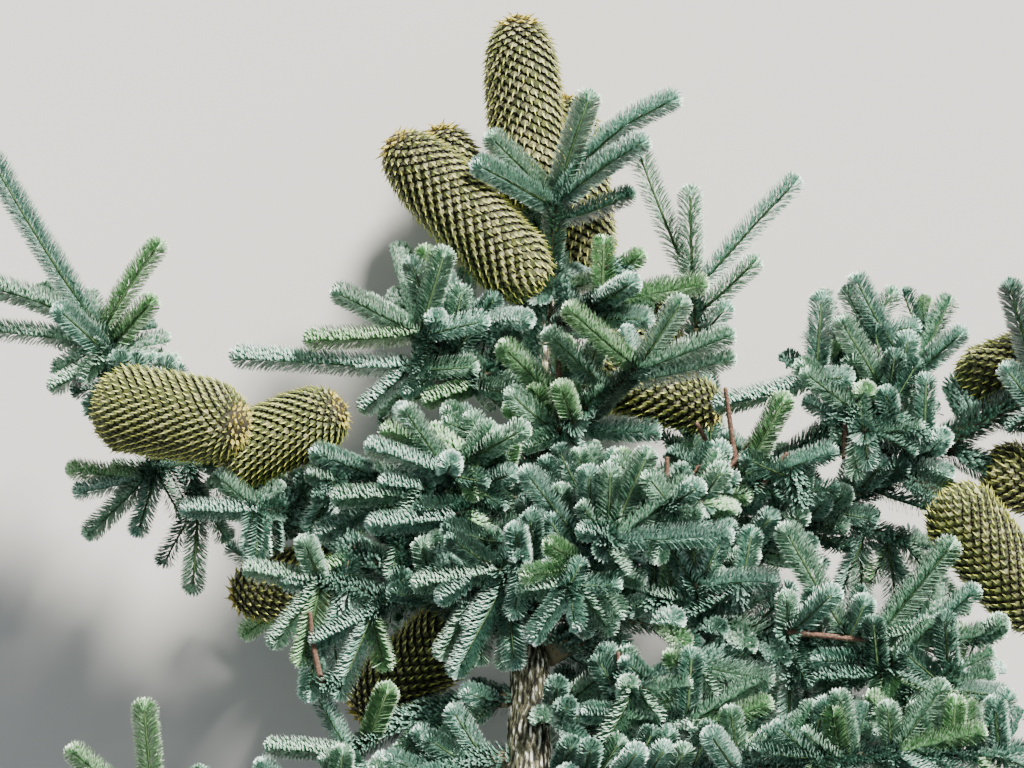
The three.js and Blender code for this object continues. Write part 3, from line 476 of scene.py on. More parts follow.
def straight(start, end):
    t = np.linspace(0, 1, ARC_STEPS + 1)[:, None]
    return vec(start) * (1 - t) + vec(end) * t


def balls(points, radius=None):
    """Chain of balls that fills a stem, or a shoot that swells from its root where no radius is given."""
    centres, radii, along = [], [], 0.0
    for a, b in zip(points, points[1:]):
        reach = length_of(a, b)
        count = math.ceil(reach / BALL_STEP)
        for i in range(count + 1):
            here = along + reach * i / count
            centres.append(mix(a, b, i / count))
            radii.append(radius or min(SHOOT_RADIUS, SHOOT_ROOT_RADIUS + SHOOT_SWELL * here))
        along += reach
    return np.array(centres), np.array(radii)


class Taken:
    """Room that limbs, cones and placed shoots already fill."""

    def __init__(self):
        self.centres, self.radii, self.owners = [], [], []

    def take(self, owner, centres, radii):
        self.centres.append(centres)
        self.radii.append(radii)
        self.owners += [owner] * len(radii)

    def room(self):
        return np.concatenate(self.centres), np.concatenate(self.radii)

    def clashes(self, owner, centres, radii):
        if np.any(centres[:, 2] - radii < FLOOR_CLEAR):
            return True
        others = np.array(self.owners) != owner
        c, r = self.room()
        gap = np.linalg.norm(centres[:, None] - c[others][None], axis=2)
        return bool(np.any(gap < radii[:, None] + r[others][None] + KEEP_CLEAR))


def grow_masses(limbs, stalks):
    """Every stem first, then every shoot, in the order of the lists; each twig is its points and its kind."""
    taken = Taken()
    for name, limb in limbs.items():
        steps = math.ceil(limb.reach / BALL_STEP)
        t = np.arange(steps + 1) / steps
        taken.take(name, limb.at(t), limb.radius(t))
    for name, (carrier, place, base, tip, radius) in CONES.items():
        t = np.arange(CONE_BALLS + 1) / CONE_BALLS
        taken.take(name, mix(vec(base), vec(tip), t[:, None]), cone_radius(radius, t))
        taken.take(name, *balls(straight(stalks[name][0], base), STALK_RADIUS))
    hard = taken.room()
    masses, starts = {}, {}
    for name, (carrier, place, forks) in MASSES.items():
        root = seat_on(limbs[carrier], place, forks[0][1], STEM_ROOT_RADIUS)
        starts[name] = [mix(root, vec(forks[0][1]), share) for share, node, shoots in forks]
        masses[name] = [(straight(start, fork[1]), "stem") for start, fork in zip(starts[name], forks)]
        for points, kind in masses[name]:
            taken.take(name, *balls(points, STEM_RADIUS))
    for name, (carrier, place, forks) in MASSES.items():
        for start, (share, node, shoots) in zip(starts[name], forks):
            shoots = list(shoots)
            if name in BACK_MASSES:
                seed, foot, middle, half = BACK_MASSES[name]
                points = straight(node, foot - unit(vec(foot) - node) * TIP_OVERHANG)
                masses[name].append((points, "shoot"))
                taken.take(name, *balls(points))
                chance = seeded(seed)
                for k in range(BACK_SHOOTS):
                    at = BACK_START + (1 - BACK_START) * chance()
                    bearing = middle + half * (((k + 0.5) / BACK_SHOOTS) * 2 - 1)
                    shoots.append((at, bearing, mix(*BACK_RISE, chance()), mix(*BACK_LENGTH, chance())))
            for at, *way in shoots:
                kind = way.pop() if way[-1] == "bare" else "shoot"
                bearing, rise, *rest = way
                for turn in RISE_TRIES:
                    points = arc(mix(start, vec(node), at), bearing, rise + turn, *rest)
                    room = balls(points, BARE_RADIUS if kind == "bare" else None)
                    if not taken.clashes(name, *room):
                        masses[name].append((points, kind))
                        taken.take(name, *room)
                        break
    return masses, hard


class Mesh:
    """Corners, faces and material numbers of one joined piece, in the rule's millimetres."""

    def __init__(self):
        self.corners, self.count = [], 0
        self.faces = {4: [], 3: []}
        self.slots = {4: [], 3: []}

    def add(self, corners, *groups):
        """Each group is faces of three or four corners and their material numbers."""
        for faces, slots in groups:
            faces = np.asarray(faces, dtype=np.int64)
            self.faces[faces.shape[1]].append(faces + self.count)
            self.slots[faces.shape[1]].append(np.broadcast_to(np.asarray(slots), len(faces)))
        corners = np.asarray(corners, dtype=np.float32).reshape(-1, 3)
        self.corners.append(corners)
        self.count += len(corners)

    def triangles(self):
        return 2 * sum(map(len, self.faces[4])) + sum(map(len, self.faces[3]))

    def build(self, name, slot, materials, replaced=(), smooth=True):
        corners = (np.concatenate(self.corners) + SHIFT) / 1000
        loops = np.concatenate([faces.ravel() for size in (4, 3) for faces in self.faces[size]])
        slots = np.concatenate(self.slots[4] + self.slots[3])
        sizes = np.concatenate([np.full(len(faces), size) for size in (4, 3) for faces in self.faces[size]])
        mesh = bpy.data.meshes.new(name)
        mesh.vertices.add(len(corners))
        mesh.vertices.foreach_set("co", corners.astype(np.float32).ravel())
        mesh.loops.add(len(loops))
        mesh.loops.foreach_set("vertex_index", loops.astype(np.int32))
        mesh.polygons.add(len(sizes))
        mesh.polygons.foreach_set("loop_start", (np.cumsum(sizes) - sizes).astype(np.int32))
        for material in materials:
            mesh.materials.append(material)
        mesh.polygons.foreach_set("material_index", slots.astype(np.int32))
        mesh.polygons.foreach_set("use_smooth", np.full(len(sizes), smooth))
        mesh.update(calc_edges=True)
        mesh.validate()
        piece = bpy.data.objects.new(name, mesh)
        bpy.context.scene.collection.objects.link(piece)
        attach(piece, "root")
        if len(replaced):
            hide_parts(*replaced)


# Height of a tube's far end, as a share of its radius
END_HEIGHT = 0.5


def frames_along(points):
    """Direction and two steady sides at each point."""
    ways = unit_rows(np.gradient(vec(points), axis=0))
    sides = np.zeros_like(ways)
    side = vec([0, 0, 1] if abs(ways[0][2]) < STEEP else [1, 0, 0])
    for k, way in enumerate(ways):
        side = unit(side - way * (side @ way))
        sides[k] = side
    return ways, sides, np.cross(ways, sides)


def tube(mesh, points, radii, sides, slot=0, relief=0.0, cut_slot=None):
    """Closed tube; relief, per ring and side, adds to the radius. The first end may have its own finish."""
    points = vec(points)
    n = len(points)
    radii = np.broadcast_to(vec(radii), n)
    ways, side, other = frames_along(points)
    turns = np.arange(sides)[:, None] * 2 * math.pi / sides
    around = np.cos(turns) * side[:, None] + np.sin(turns) * other[:, None]
    reach = radii[:, None] * np.ones(sides) + relief
    corners = points[:, None] + around * reach[..., None]
    k, j = np.meshgrid(np.arange(n - 1), np.arange(sides), indexing="ij")
    a, b = (k * sides + j).ravel(), (k * sides + (j + 1) % sides).ravel()
    quads = np.stack([a, b, b + sides, a + sides], axis=1)
    ends = [points[:1], points[-1:] + ways[-1:] * radii[-1] * END_HEIGHT]
    j = np.arange(sides)
    after = (j + 1) % sides
    first, top = n * sides, (n - 1) * sides
    caps = np.concatenate([
        np.stack([np.full(sides, first), after, j], axis=1),
        np.stack([np.full(sides, first + 1), top + j, top + after], axis=1),
    ])
    slots = np.repeat([slot if cut_slot is None else cut_slot, slot], sides)
    mesh.add(np.concatenate([corners.reshape(-1, 3), *ends]), (quads, slot), (caps, slots))


# Needles stand up from the twig in a brush: they part along its under side and curve to the upper side.
# Real ones are about 1 mm wide; these are coarser, so that they show and their number stays low
NEEDLE_REACH = 10.0
NEEDLE_WIDTH = 2.3
NEEDLE_PITCH = 2.9
# A needle is widest at this share of its length
WAIST = 0.7
TWIG_RADIUS = 1.4
# The twig lies this far under the middle of its brush, after the first few millimetres
TWIG_DROP = 2.6
TWIG_DROP_RUN = 12
TIP_NEEDLES = 44
INNER_TIP_NEEDLES = 30
# Up for the growing tree, in the frame of the lying one
TREE_UP = vec([0.0, 0.84, -0.54])
FLOOR_GAP = 0.6
# Spread of a needle's place and tip in millimetres, of its turn in radians and of its length
PLACE_SPREAD = 0.55
TIP_SPREAD = 0.35
TURN_SPREAD = 0.16
LENGTH_RANGE = (0.93, 1.06)
# Needles on the upper side are longer by this share, and each bows away from the twig
UPPER_EXTRA = 0.12
BOW = 0.5
# Needles reach their full length at a third of the twig; toward its end they sweep forward
GROWTH_RATE = 3
GROWTH_POWER = 0.6
SWEEP = 0.6
# How far the dome on the tip folds back to the twig, and the least room for a needle beside it
DOME_FOLD = 0.95
LEAST_ROOM = 0.05
# Share of the girth from which a needle starts, so that it is rooted in the twig
ROOTED = 0.8
# Needles along the stems, stalks and boughs, which have no tip of their own
STEM_NEEDLES = dict(density=7.5, reach=9.5, carrier=2.3, parting=0, tips=0, ahead=0.85, curl=0.06)
STALK_NEEDLES = dict(density=9.0, reach=9.5, carrier=STALK_RADIUS, parting=0, tips=0, ahead=0.9, curl=0.1)
BOUGH_NEEDLES = dict(density=9.0, reach=11.0, parting=0.04, tips=0, ahead=0.9, curl=0.15, young_share=0.8)


def upper_side(ways):
    """Side of each way that faces up in the growing tree."""
    return unit_rows(TREE_UP - ways * (ways @ TREE_UP)[:, None])


def twig_path(points):
    """The twig's own line, sunk to the under side of the brush from a few millimetres past its root."""
    run = np.concatenate([[0], np.cumsum(np.linalg.norm(np.diff(points, axis=0), axis=1))])
    lift = upper_side(frames_along(points)[0])
    return points - lift * (TWIG_DROP * np.minimum(1, run / TWIG_DROP_RUN))[:, None]


def needles_on(mesh, points, chance, tint, density, reach=NEEDLE_REACH, carrier=None, parting=0.09,
               tips=TIP_NEEDLES, ahead=0.64, curl=0.34, young_share=0.84):
    """Curved needles in close rings along a shoot and in a dome on its tip, blades bent at the waist."""
    drop = TWIG_DROP if carrier is None else 0.0
    if carrier is None:
        points, carrier = twig_path(points), TWIG_RADIUS
    ways = frames_along(points)[0]
    length = float(np.sum(np.linalg.norm(np.diff(points, axis=0), axis=1)))
    count = max(6, int(length * density))
    total = count + tips
    i = np.arange(total)
    ring = max(5, round(density * NEEDLE_PITCH))
    t = np.clip((i + 0.5) / count + chance.normal(0, PLACE_SPREAD, total) / length, 0.0, 1.0)
    root, way = along_points(points, t), along_points(ways, t)
    girth = np.interp(t, np.linspace(0, 1, np.size(carrier)), np.atleast_1d(carrier))
    up = upper_side(way)
    flank = np.cross(way, up)
    # Turn from the upper side, ring after ring, and the turn that the needle's tip ends at
    turn = (np.mod(i + 0.5, ring) / ring * 2 - 1) * math.pi * (1 - parting)
    turn += chance.normal(0, TURN_SPREAD, total)
    dome = np.clip((i - count + 0.5) / max(tips, 1), 0, 1)
    body = dome <= 0
    turn = np.where(body, turn, np.mod(i * GOLDEN_TURN, 2 * math.pi) - math.pi)
    bent = turn * (1 - curl * np.abs(turn) / math.pi)
    grown_share = young_share + (1 - young_share) * np.minimum(1, GROWTH_RATE * t) ** GROWTH_POWER
    size = reach * chance.uniform(*LENGTH_RANGE, total) * grown_share
    # Tips end on a round dome beyond the end of the twig
    past = np.clip(ahead * size - (1 - t) * length, 0, None) / reach
    fold = np.arcsin(np.sqrt(np.clip(1 - dome, 0, 1))) * DOME_FOLD
    shrink = np.where(body, np.sqrt(np.clip(1 - past ** 2, LEAST_ROOM, 1)), np.sin(fold))
    if not tips:
        shrink = np.ones(total)
    onward = np.where(body, ahead * size, size * np.cos(fold)) + chance.normal(0, TIP_SPREAD, total)
    tall = size * (1 + UPPER_EXTRA * np.clip(np.cos(bent), 0, 1) * (drop > 0))
    sway = np.cos(turn)[:, None] * up + np.sin(turn)[:, None] * flank
    start = girth[:, None] * ROOTED * sway
    grown = np.cos(bent)[:, None] * up + np.sin(bent)[:, None] * flank
    end = up * drop + (grown * (girth + tall)[:, None] - up * drop) * shrink[:, None]

    def place(u):
        off = start + (end - start) * u + sway * (BOW * (u - u * u) * size)[:, None]
        return root + off + way * (onward * ((1 + SWEEP) * u - SWEEP * u * u))[:, None]

    foot, waist, tip = place(0.0), place(WAIST), place(1.0)
    half = unit_rows(np.cross(tip - foot, grown) + 1e-6) * (NEEDLE_WIDTH / 2)
    corners = np.stack([foot, waist - half, waist + half, tip], axis=1)
    corners[:, :, 2] = np.maximum(corners[:, :, 2], FLOOR_GAP)
    faces = np.array([(0, 1, 2), (3, 2, 1)]) + (i * 4)[:, None, None]
    mesh.add(corners, (faces.reshape(-1, 3), np.tile([2 * tint, 2 * tint + 1], total)))


# Cones: surface of one scale in square millimetres, start of the apex and how far it stands past the solid's
SCALE_CELL = 50.0
APEX_START = 0.95
APEX_RISE = 4.0
CORE_DEPTH = 3.0
CORE_SPAN = (0.12, 0.97)
CORE_RINGS = 22
CORE_SIDES = 18
LEAST_CORE = 0.6
SCALE_SEAT = 2.2
# Skin that bears the scales: its span, closed foot and the roundness of its apex
SKIN_SPAN = (0.02, 0.999)
SKIN_STEPS = 800
FOOT_END = 0.05
APEX_POWER = 3.4
STEEPEST_SLOPE = 9
# Spread of the scales' size, lean in radians and height, and the height of the apex bracts
SIZE_RANGE = (0.92, 1.08)
LEAN_SPREAD = 0.13
STAND_RANGE = (0.8, 1.25)
APEX_STAND = 1.2
# Corners as across, toward the apex and off the surface
SCALE = [(-3.3, -3.4, -0.7), (3.3, -3.4, -0.7), (0, -0.6, -0.3), (0, -5.6, -1.0), (0, -3.2, 0.3)]
SCALE_FACES = [(0, 4, 2), (0, 3, 4), (3, 1, 4), (1, 2, 4), (2, 3, 0), (3, 2, 1)]
# Bract: root, shoulders, crown, lower corners, foot of the point, its tip and the under side
BRACT = [(0, 3.2, -0.9), (-3.8, 0.3, 0.3), (3.8, 0.3, 0.3), (0, 0.9, 1.9), (-2.7, -2.0, 1.1),
         (2.7, -2.0, 1.1), (-0.6, -2.0, 2.5), (0.6, -2.0, 2.5), (0, -5.6, 5.2), (0, -1.6, 0.2)]
BRACT_PLATE = [(0, 1, 3), (0, 3, 2), (1, 4, 3), (3, 5, 2), (4, 6, 3), (3, 7, 5),
               (1, 0, 9), (4, 1, 9), (6, 4, 9), (5, 7, 9), (2, 5, 9), (0, 2, 9)]
BRACT_POINT = [(3, 6, 7), (6, 8, 7), (8, 6, 9), (7, 8, 9)]
# Places among the bracts' finishes
TAN, OLIVE, POINT, APEX = range(4)


def cone_girth(radius, t):
    """The solid's radius, closed round at both ends."""
    fall = np.clip((t - FALL_START) / (1 - FALL_START), 0, 1)
    foot = 1 - np.clip(1 - t / FOOT_END, 0, 1) ** 2
    return radius * widening(t) * np.sqrt(np.maximum(0, 1 - fall ** APEX_POWER) * foot)


def cosine_run(first, last, count):
    """Places from 0 to 1 that crowd toward both ends."""
    return 0.5 - 0.5 * np.cos(np.linspace(first, last, count) * math.pi)


def dress_cone(row, cores, scales, bracts, chance, olive_share, size):
    """Core, scales and reflexed pointed bracts in spiral rows; size is the scales' own."""
    base, tip, radius = vec(row[2]), vec(row[3]), row[4]
    way = unit(tip - base)
    tip = tip + way * APEX_RISE
    reach = length_of(base, tip)
    side, other = sides_of(way)
    t = cosine_run(*CORE_SPAN, CORE_RINGS)
    core = np.maximum(cone_girth(radius, t) - CORE_DEPTH, LEAST_CORE)
    tube(cores, base + (tip - base) * t[:, None], core, CORE_SIDES)
    fine = cosine_run(*SKIN_SPAN, SKIN_STEPS)
    girth = cone_girth(radius, fine)
    steps = np.hypot(np.diff(girth), np.diff(fine * reach))
    skin = np.concatenate([[0], np.cumsum(steps * (girth[1:] + girth[:-1]) / 2)])
    count = int(2 * math.pi * skin[-1] / (SCALE_CELL * size ** 2))
    i = np.arange(count)
    t = np.interp((i + 0.5) / count, skin / skin[-1], fine)
    turn = (i * GOLDEN_TURN)[:, None]
    slope = np.clip(np.gradient(girth, fine * reach), -STEEPEST_SLOPE, STEEPEST_SLOPE)
    slope = np.interp(t, fine, slope)[:, None]
    out = np.cos(turn) * side + np.sin(turn) * other
    face = unit_rows(out - way * slope)
    up = unit_rows(way + out * slope)
    across = np.cross(up, face)
    place = base + way * (t * reach)[:, None] + out * cone_girth(radius, t)[:, None] - face * SCALE_SEAT
    # Bracts lean a little to either side and lift unevenly
    lean = np.random.default_rng(count).normal(0, LEAN_SPREAD, count)[:, None]
    across, up = across * np.cos(lean) + up * np.sin(lean), up * np.cos(lean) - across * np.sin(lean)
    small = chance.uniform(*SIZE_RANGE, count) * size
    apex = t > APEX_START
    stand = np.where(apex, APEX_STAND, 1.0) * chance.uniform(*STAND_RANGE, count)

    def set_on(shape, height):
        sizes = np.stack([small, small, height], axis=1)[:, None] * np.array(shape)
        return place[:, None] + sizes @ np.stack([across, up, face], axis=1)

    def faces_of(faces, shape):
        return (np.array(faces) + (i * len(shape))[:, None, None]).reshape(-1, 3)

    scales.add(set_on(SCALE, small), (faces_of(SCALE_FACES, SCALE), 0))
    plate = np.where(apex, APEX, np.where(chance.random(count) < olive_share, OLIVE, TAN))
    point = np.where(apex, APEX, POINT)
    slots = np.repeat(np.stack([plate, point], axis=1), [len(BRACT_PLATE), len(BRACT_POINT)], axis=1)
    bracts.add(set_on(BRACT, small * stand), (faces_of(BRACT_PLATE + BRACT_POINT, BRACT), slots.ravel()))


def linear(hex_colour):
    """sRGB hex to linear, with full cover."""
    parts = [int(hex_colour[k:k + 2], 16) / 255 for k in (1, 3, 5)]
    return [*(c / 12.92 if c <= 0.04045 else ((c + 0.055) / 1.055) ** 2.4 for c in parts), 1.0]


def add_node(material, kind, links=None, tones=(), **settings):
    """Adds one node: settings go to its fields or sockets, links to its sockets, tones to its colour ramp."""
    node = material.node_tree.nodes.new(kind)
    for key, value in settings.items():
        if hasattr(node, key):
            setattr(node, key, value)
        else:
            node.inputs[key].default_value = value
    for key, source in (links or {}).items():
        material.node_tree.links.new(source, node.inputs[key])
    for k, (place, colour) in enumerate(tones):
        stops = node.color_ramp.elements
        stop = stops.new(place) if 0 < k < len(tones) - 1 else stops[-1 if k else 0]
        stop.position, stop.color = place, linear(colour)
    return node


def new_finish(name, roughness, colour=None):
    """Opaque material with its own shader, and a plain colour if it has one."""
    material = bpy.data.materials.new(name)
    material.use_nodes = True
    shader = material.node_tree.nodes["Principled BSDF"]
    shader.inputs["Roughness"].default_value = roughness
    if colour:
        shader.inputs["Base Color"].default_value = linear(colour)
    return material, shader


def dress_shader(material, shader, tones, height, strength, depth_mm):
    """Links the colour and a fine bump to the shader."""
    bump = add_node(material, "ShaderNodeBump", {"Height": height},
                    Strength=strength, Distance=depth_mm / 1000)
    material.node_tree.links.new(tones.outputs["Color"], shader.inputs["Base Color"])
    material.node_tree.links.new(bump.outputs["Normal"], shader.inputs["Normal"])
    return material


def waxy_needle(name, main, patch, roughness=0.4):
    """Living fir needle with a wax bloom: mottled between two close greens, soft low gloss."""
    material, shader = new_finish(name, roughness)
    place = add_node(material, "ShaderNodeTexCoord")
    # Patches of bloom about 3 mm across, so that one needle stands out from the next
    mottle = add_node(material, "ShaderNodeTexNoise", {"Vector": place.outputs["Object"]},
                      Scale=340.0, Detail=1.0)
    tones = add_node(material, "ShaderNodeValToRGB", {"Fac": mottle.outputs["Fac"]},
                     [(0.36, patch), (0.58, main)])
    material.node_tree.links.new(tones.outputs["Color"], shader.inputs["Base Color"])
    # Leaf wax
    shader.inputs["IOR"].default_value = 1.48
    return material


def woody(name, low, middle, high, grains, depth_mm, roughness=0.8):
    """Scale, twig or wood: three tones and a fine bump along a grain of so many grains a metre."""
    material, shader = new_finish(name, roughness)
    place = add_node(material, "ShaderNodeTexCoord")
    grain = add_node(material, "ShaderNodeTexNoise", {"Vector": place.outputs["Object"]},
                     Scale=grains, Detail=6.0, Roughness=0.62)
    tones = add_node(material, "ShaderNodeValToRGB", {"Fac": grain.outputs["Fac"]},
                     [(0.3, low), (0.5, middle), (0.72, high)])
    return dress_shader(material, shader, tones, grain.outputs["Fac"], 0.6, depth_mm)


def ridged_bark(name, furrow, plate, ridge):
    """Furrowed bark with fine cracks of its own: the dark hollows are painted shade and the pale edges of the
    relief a painted highlight.
    """
    material, shader = new_finish(name, 0.85)
    place = add_node(material, "ShaderNodeTexCoord")
    shape = add_node(material, "ShaderNodeNewGeometry")
    spread = add_node(material, "ShaderNodeMapping", {"Vector": place.outputs["Object"]}, Scale=(1, 0.22, 1))
    # Cracks about 3 mm apart across the trunk
    grain = add_node(material, "ShaderNodeTexNoise", {"Vector": spread.outputs["Vector"]},
                     Scale=330.0, Detail=5.0, Roughness=0.6)
    # Pointiness darkens the hollows and lightens the edges: painted shade and painted highlight
    edges = add_node(material, "ShaderNodeMath", {0: grain.outputs["Fac"], 2: shape.outputs["Pointiness"]},
                     operation="MULTIPLY_ADD")
    edges.inputs[1].default_value = 0.34
    tones = add_node(material, "ShaderNodeValToRGB", {"Fac": edges.outputs["Value"]},
                     [(0.64, furrow), (0.7, plate), (0.735, ridge)])
    return dress_shader(material, shader, tones, grain.outputs["Fac"], 0.8, 1.2)


# Needles with a wax bloom: the inner half by the twig, its greener patches and the bloomed outer half.
# The new shoots are yellower; the shade tint is painted shade, a darker tint for needles that lie in the
# crown's shade
NEEDLE_TINTS = {
    "young": ("#a1cb9b", "#598959", "#e6fade"),
    "glaucous": ("#a4cebc", "#4d7a6a", "#effff7"),
    "mid": ("#a0c8ad", "#4c755e", "#e9fcee"),
    "shade": ("#597f6d", "#2a493c", "#9dbfb0"),
}
# Places of the tints that old needles have; the shade tint is painted shade
MID, SHADE = 2, 3
needle_finishes = []
for tint, (inner, patch, bloom) in NEEDLE_TINTS.items():
    needle_finishes.append(waxy_needle(f"needle_green_{tint}", inner, patch))
    needle_finishes.append(waxy_needle(f"needle_bloom_{tint}", bloom, inner, 0.46))
# Twig bark of this year's growth, still green, and of older growth, brown and dull
young_twig = woody("twig_young_bark", "#2b3d22", "#3b5530", "#54733f", 300, 0.3)
old_twig = woody("twig_old_bark", "#29281c", "#454230", "#676248", 260, 0.4)
# Dry scale bases left on the axis of a shed cone: red brown and rough
axis_bark = woody("old_cone_axis_scales", "#3a2921", "#654a3b", "#967662", 500, 0.6)
# Grey bark with pale ridges on the trunk, and browner flakes on the boughs; on both the pale ridges are
# painted highlight and the dark hollows painted shade
bough_bark = ridged_bark("bough_bark_flaked", "#16150e", "#443f2c", "#8f8769")
trunk_bark = ridged_bark("trunk_bark_furrowed", "#14160f", "#77765a", "#fffef2")
# Sawn fir wood: pale, fine and matt
cut_wood = woody("cut_fir_wood", "#b79c6c", "#d3bd90", "#e8dab6", 90, 0.2, 0.7)
# Cone: core and scales in the gaps between the bracts, their dark tones partly painted shade, tan or olive
# plates, straw points, yellow apex
cone_core = woody("cone_core_olive", "#1b1810", "#2e291a", "#453f29", 200, 0.4)
cone_scale = woody("cone_scale_dry", "#15160e", "#27271a", "#413f2b", 240, 0.3, 0.7)
bract_finishes = [woody(f"cone_{name}", *tones, 190, 0.2, 0.6) for name, *tones in (
    ("bract_plate_tan", "#363b28", "#686b45", "#b8b681"),
    # Olive plates: darker partly as painted shade for the cones that lie in shade
    ("bract_plate_olive", "#2a321a", "#454f25", "#767b3c"),
    ("bract_point_straw", "#a9ae33", "#dadf66", "#fffab4"),
    ("apex_bract_yellow", "#84792e", "#b3a649", "#e2d986"),
)]

# The treetop
SHIFT = vec(frame["record"]["mounts"][0]["pos_m"]) * 1000 - vec(CUT_CENTRE)
rng = np.random.default_rng(7)
noise.seed_set(7)
limbs = grow_limbs()
stalks = grow_stalks(limbs)
masses, (hard_centres, hard_radii) = grow_masses(limbs, stalks)

# Trunk with furrowed bark: long lumps about 4 mm wide and 19 mm tall, finer where the trunk is bare
TRUNK_SIDES = 108
BARE_STEPS = 124
COVERED_STEPS = 36
BARE_END = 0.45
LUMP_WIDE = 4.2
LUMP_TALL = 19.0
LUMP_HEIGHT = 3.4
# Lumps are flat above this share, wander aside by a share, and ride on a broader swell
LUMP_TOP = 0.45
WANDER = 0.35
WANDER_RATE = 0.6
SWELL_HEIGHT = 0.9
SWELL_RATE = 0.45
FURROW_DEPTH = 1.3
CUT_INSET = 0.3
# Radius from which the relief has its full height
FULL_RELIEF = 16


def dress_trunk():
    trunk = limbs["trunk"]
    t = np.concatenate([np.linspace(0, BARE_END, BARE_STEPS)[:-1], np.linspace(BARE_END, 1, COVERED_STEPS)])
    relief = np.zeros((len(t), TRUNK_SIDES))
    for k, place in enumerate(t):
        wide = float(trunk.radius(place)) / LUMP_WIDE
        for j in range(TRUNK_SIDES):
            turn = 2 * math.pi * j / TRUNK_SIDES
            spot = Vector((math.cos(turn) * wide, math.sin(turn) * wide, place * trunk.reach / LUMP_TALL))
            near = noise.voronoi(spot + noise.noise_vector(spot * WANDER_RATE) * WANDER)[0]
            lump = LUMP_HEIGHT * min(LUMP_TOP, near[1] - near[0])
            relief[k, j] = lump + SWELL_HEIGHT * noise.noise(spot * SWELL_RATE)
    relief = (relief - FURROW_DEPTH) * np.minimum(1, trunk.radius(t) / FULL_RELIEF)[:, None]
    relief[0] = -CUT_INSET
    mesh = Mesh()
    tube(mesh, trunk.at(t), trunk.radius(t), TRUNK_SIDES, relief=relief, cut_slot=1)
    mesh.build("trunk_bark", "bark", [trunk_bark, cut_wood], ["trunk"])


dress_trunk()

# Boughs with flaked bark and a swollen collar that runs into the trunk
BOUGH_STEPS = 40
BOUGH_SIDES = 18
FLAKE_HEIGHT = 0.55
FLAKE_LONG = 9
FLAKES_ROUND = 2
COLLAR_DEPTH = 9.0
COLLAR_SWELL = 0.14
COLLAR_REACH = 12
BOUGH_INSET = 0.2


def bough_line(limb, t):
    """The bough's smooth curve, begun within its carrier."""
    points = limb.curve(t)
    points[0] += unit(points[0] - points[1]) * COLLAR_DEPTH
    return points


def dress_boughs():
    mesh = Mesh()
    boughs = [name for name in limbs if name != "trunk"]
    t = np.linspace(0, 1, BOUGH_STEPS)
    turns = np.arange(BOUGH_SIDES) * 2 * math.pi / BOUGH_SIDES
    for name in boughs:
        limb = limbs[name]
        # Each name's length starts its bough at another place of the pattern
        up = t * limb.reach / FLAKE_LONG + len(name)
        relief = FLAKE_HEIGHT * np.array([[
            noise.noise(Vector((math.cos(turn) * FLAKES_ROUND, math.sin(turn) * FLAKES_ROUND, z)))
            for turn in turns] for z in up])
        swell = 1 + COLLAR_SWELL * np.exp(-t * limb.reach / COLLAR_REACH)
        tube(mesh, bough_line(limb, t), (limb.radius(t) - BOUGH_INSET) * swell, BOUGH_SIDES, relief=relief)
    mesh.build("bough_bark", "bark", [bough_bark], boughs)


dress_boughs()

# Share of olive plates: the top cones are tan, the others greener and darker, the darkness partly painted
# shade; the far left cones have finer scales
TOP_OLIVE, OTHER_OLIVE = 0.4, 0.85
FINE_SCALES = 0.86
STALK_RINGS = 8
STALK_SIDES = 12


def dress_cones():
    cores, scales, bracts = Mesh(), Mesh(), Mesh()
    for name, row in CONES.items():
        olive_share = TOP_OLIVE if name.startswith("cone_top") else OTHER_OLIVE
        size = FINE_SCALES if name.startswith("cone_far_left") else 1.0
        dress_cone(row, cores, scales, bracts, rng, olive_share, size)
        tube(cores, np.linspace(*stalks[name], STALK_RINGS), STALK_RADIUS, STALK_SIDES)
    cores.build("cone_cores", "cone", [cone_core], CONES)
    scales.build("cone_scales", "cone", [cone_scale])
    bracts.build("cone_bracts", "cone", bract_finishes, smooth=False)


dress_cones()

# Foliage: every mass is grown finer, inside its own box and the reach of the whole
AXIS_PLACES = 12
ROOT_CLEARANCE = 5.0
BOX_CLEARANCE = 4
WHOLE_CLEARANCE = 11
CONE_CLEARANCE = 5
# Places from the root that may touch a limb, lie by another axis or be outside the box
LIMB_FREE, CROWD_FREE, BOX_FREE = 4, 5, 2
# Points of a shoot's tip looked at for sky, and places along it for a cone behind it
TIP_POINTS = 3
COVER_PLACES = np.linspace(0.2, 1, 6)
# Places on a twig where a short one may join it, and the gap that needs one
JOIN_PLACES = 9
JOIN_END = 0.8
JOIN_GAP = 3
boxes = {name: [np.array(corner) * 1000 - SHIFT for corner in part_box(name)] for name in MASSES}
whole_low = np.min([low for low, high in boxes.values()], axis=0)
whole_high = np.max([high for low, high in boxes.values()], axis=0)
shoot_axes = [spaced(points, AXIS_PLACES) for twigs in masses.values() for points, kind in twigs]


def owner_of(points, crowd, wanted=None, slack=0.0):
    """Mass whose own space, or slack round it, holds the shoot, off the limbs, cones and other axes."""
    fine = spaced(points, AXIS_PLACES)
    gap = np.linalg.norm(fine[LIMB_FREE:, None] - hard_centres[None], axis=2) - hard_radii
    if gap.min() < ROOT_CLEARANCE:
        return None
    if np.linalg.norm(fine[CROWD_FREE:, None] - np.concatenate(shoot_axes)[None], axis=2).min() < crowd:
        return None
    if np.any((fine <= whole_low + WHOLE_CLEARANCE) | (fine >= whole_high - WHOLE_CLEARANCE)):
        return None
    inset = BOX_CLEARANCE - slack
    for name in sorted(boxes, key=lambda name: name != wanted):
        low, high = boxes[name]
        if np.all((fine[BOX_FREE:] > low + inset) & (fine[BOX_FREE:] < high - inset)):
            return name
    return None


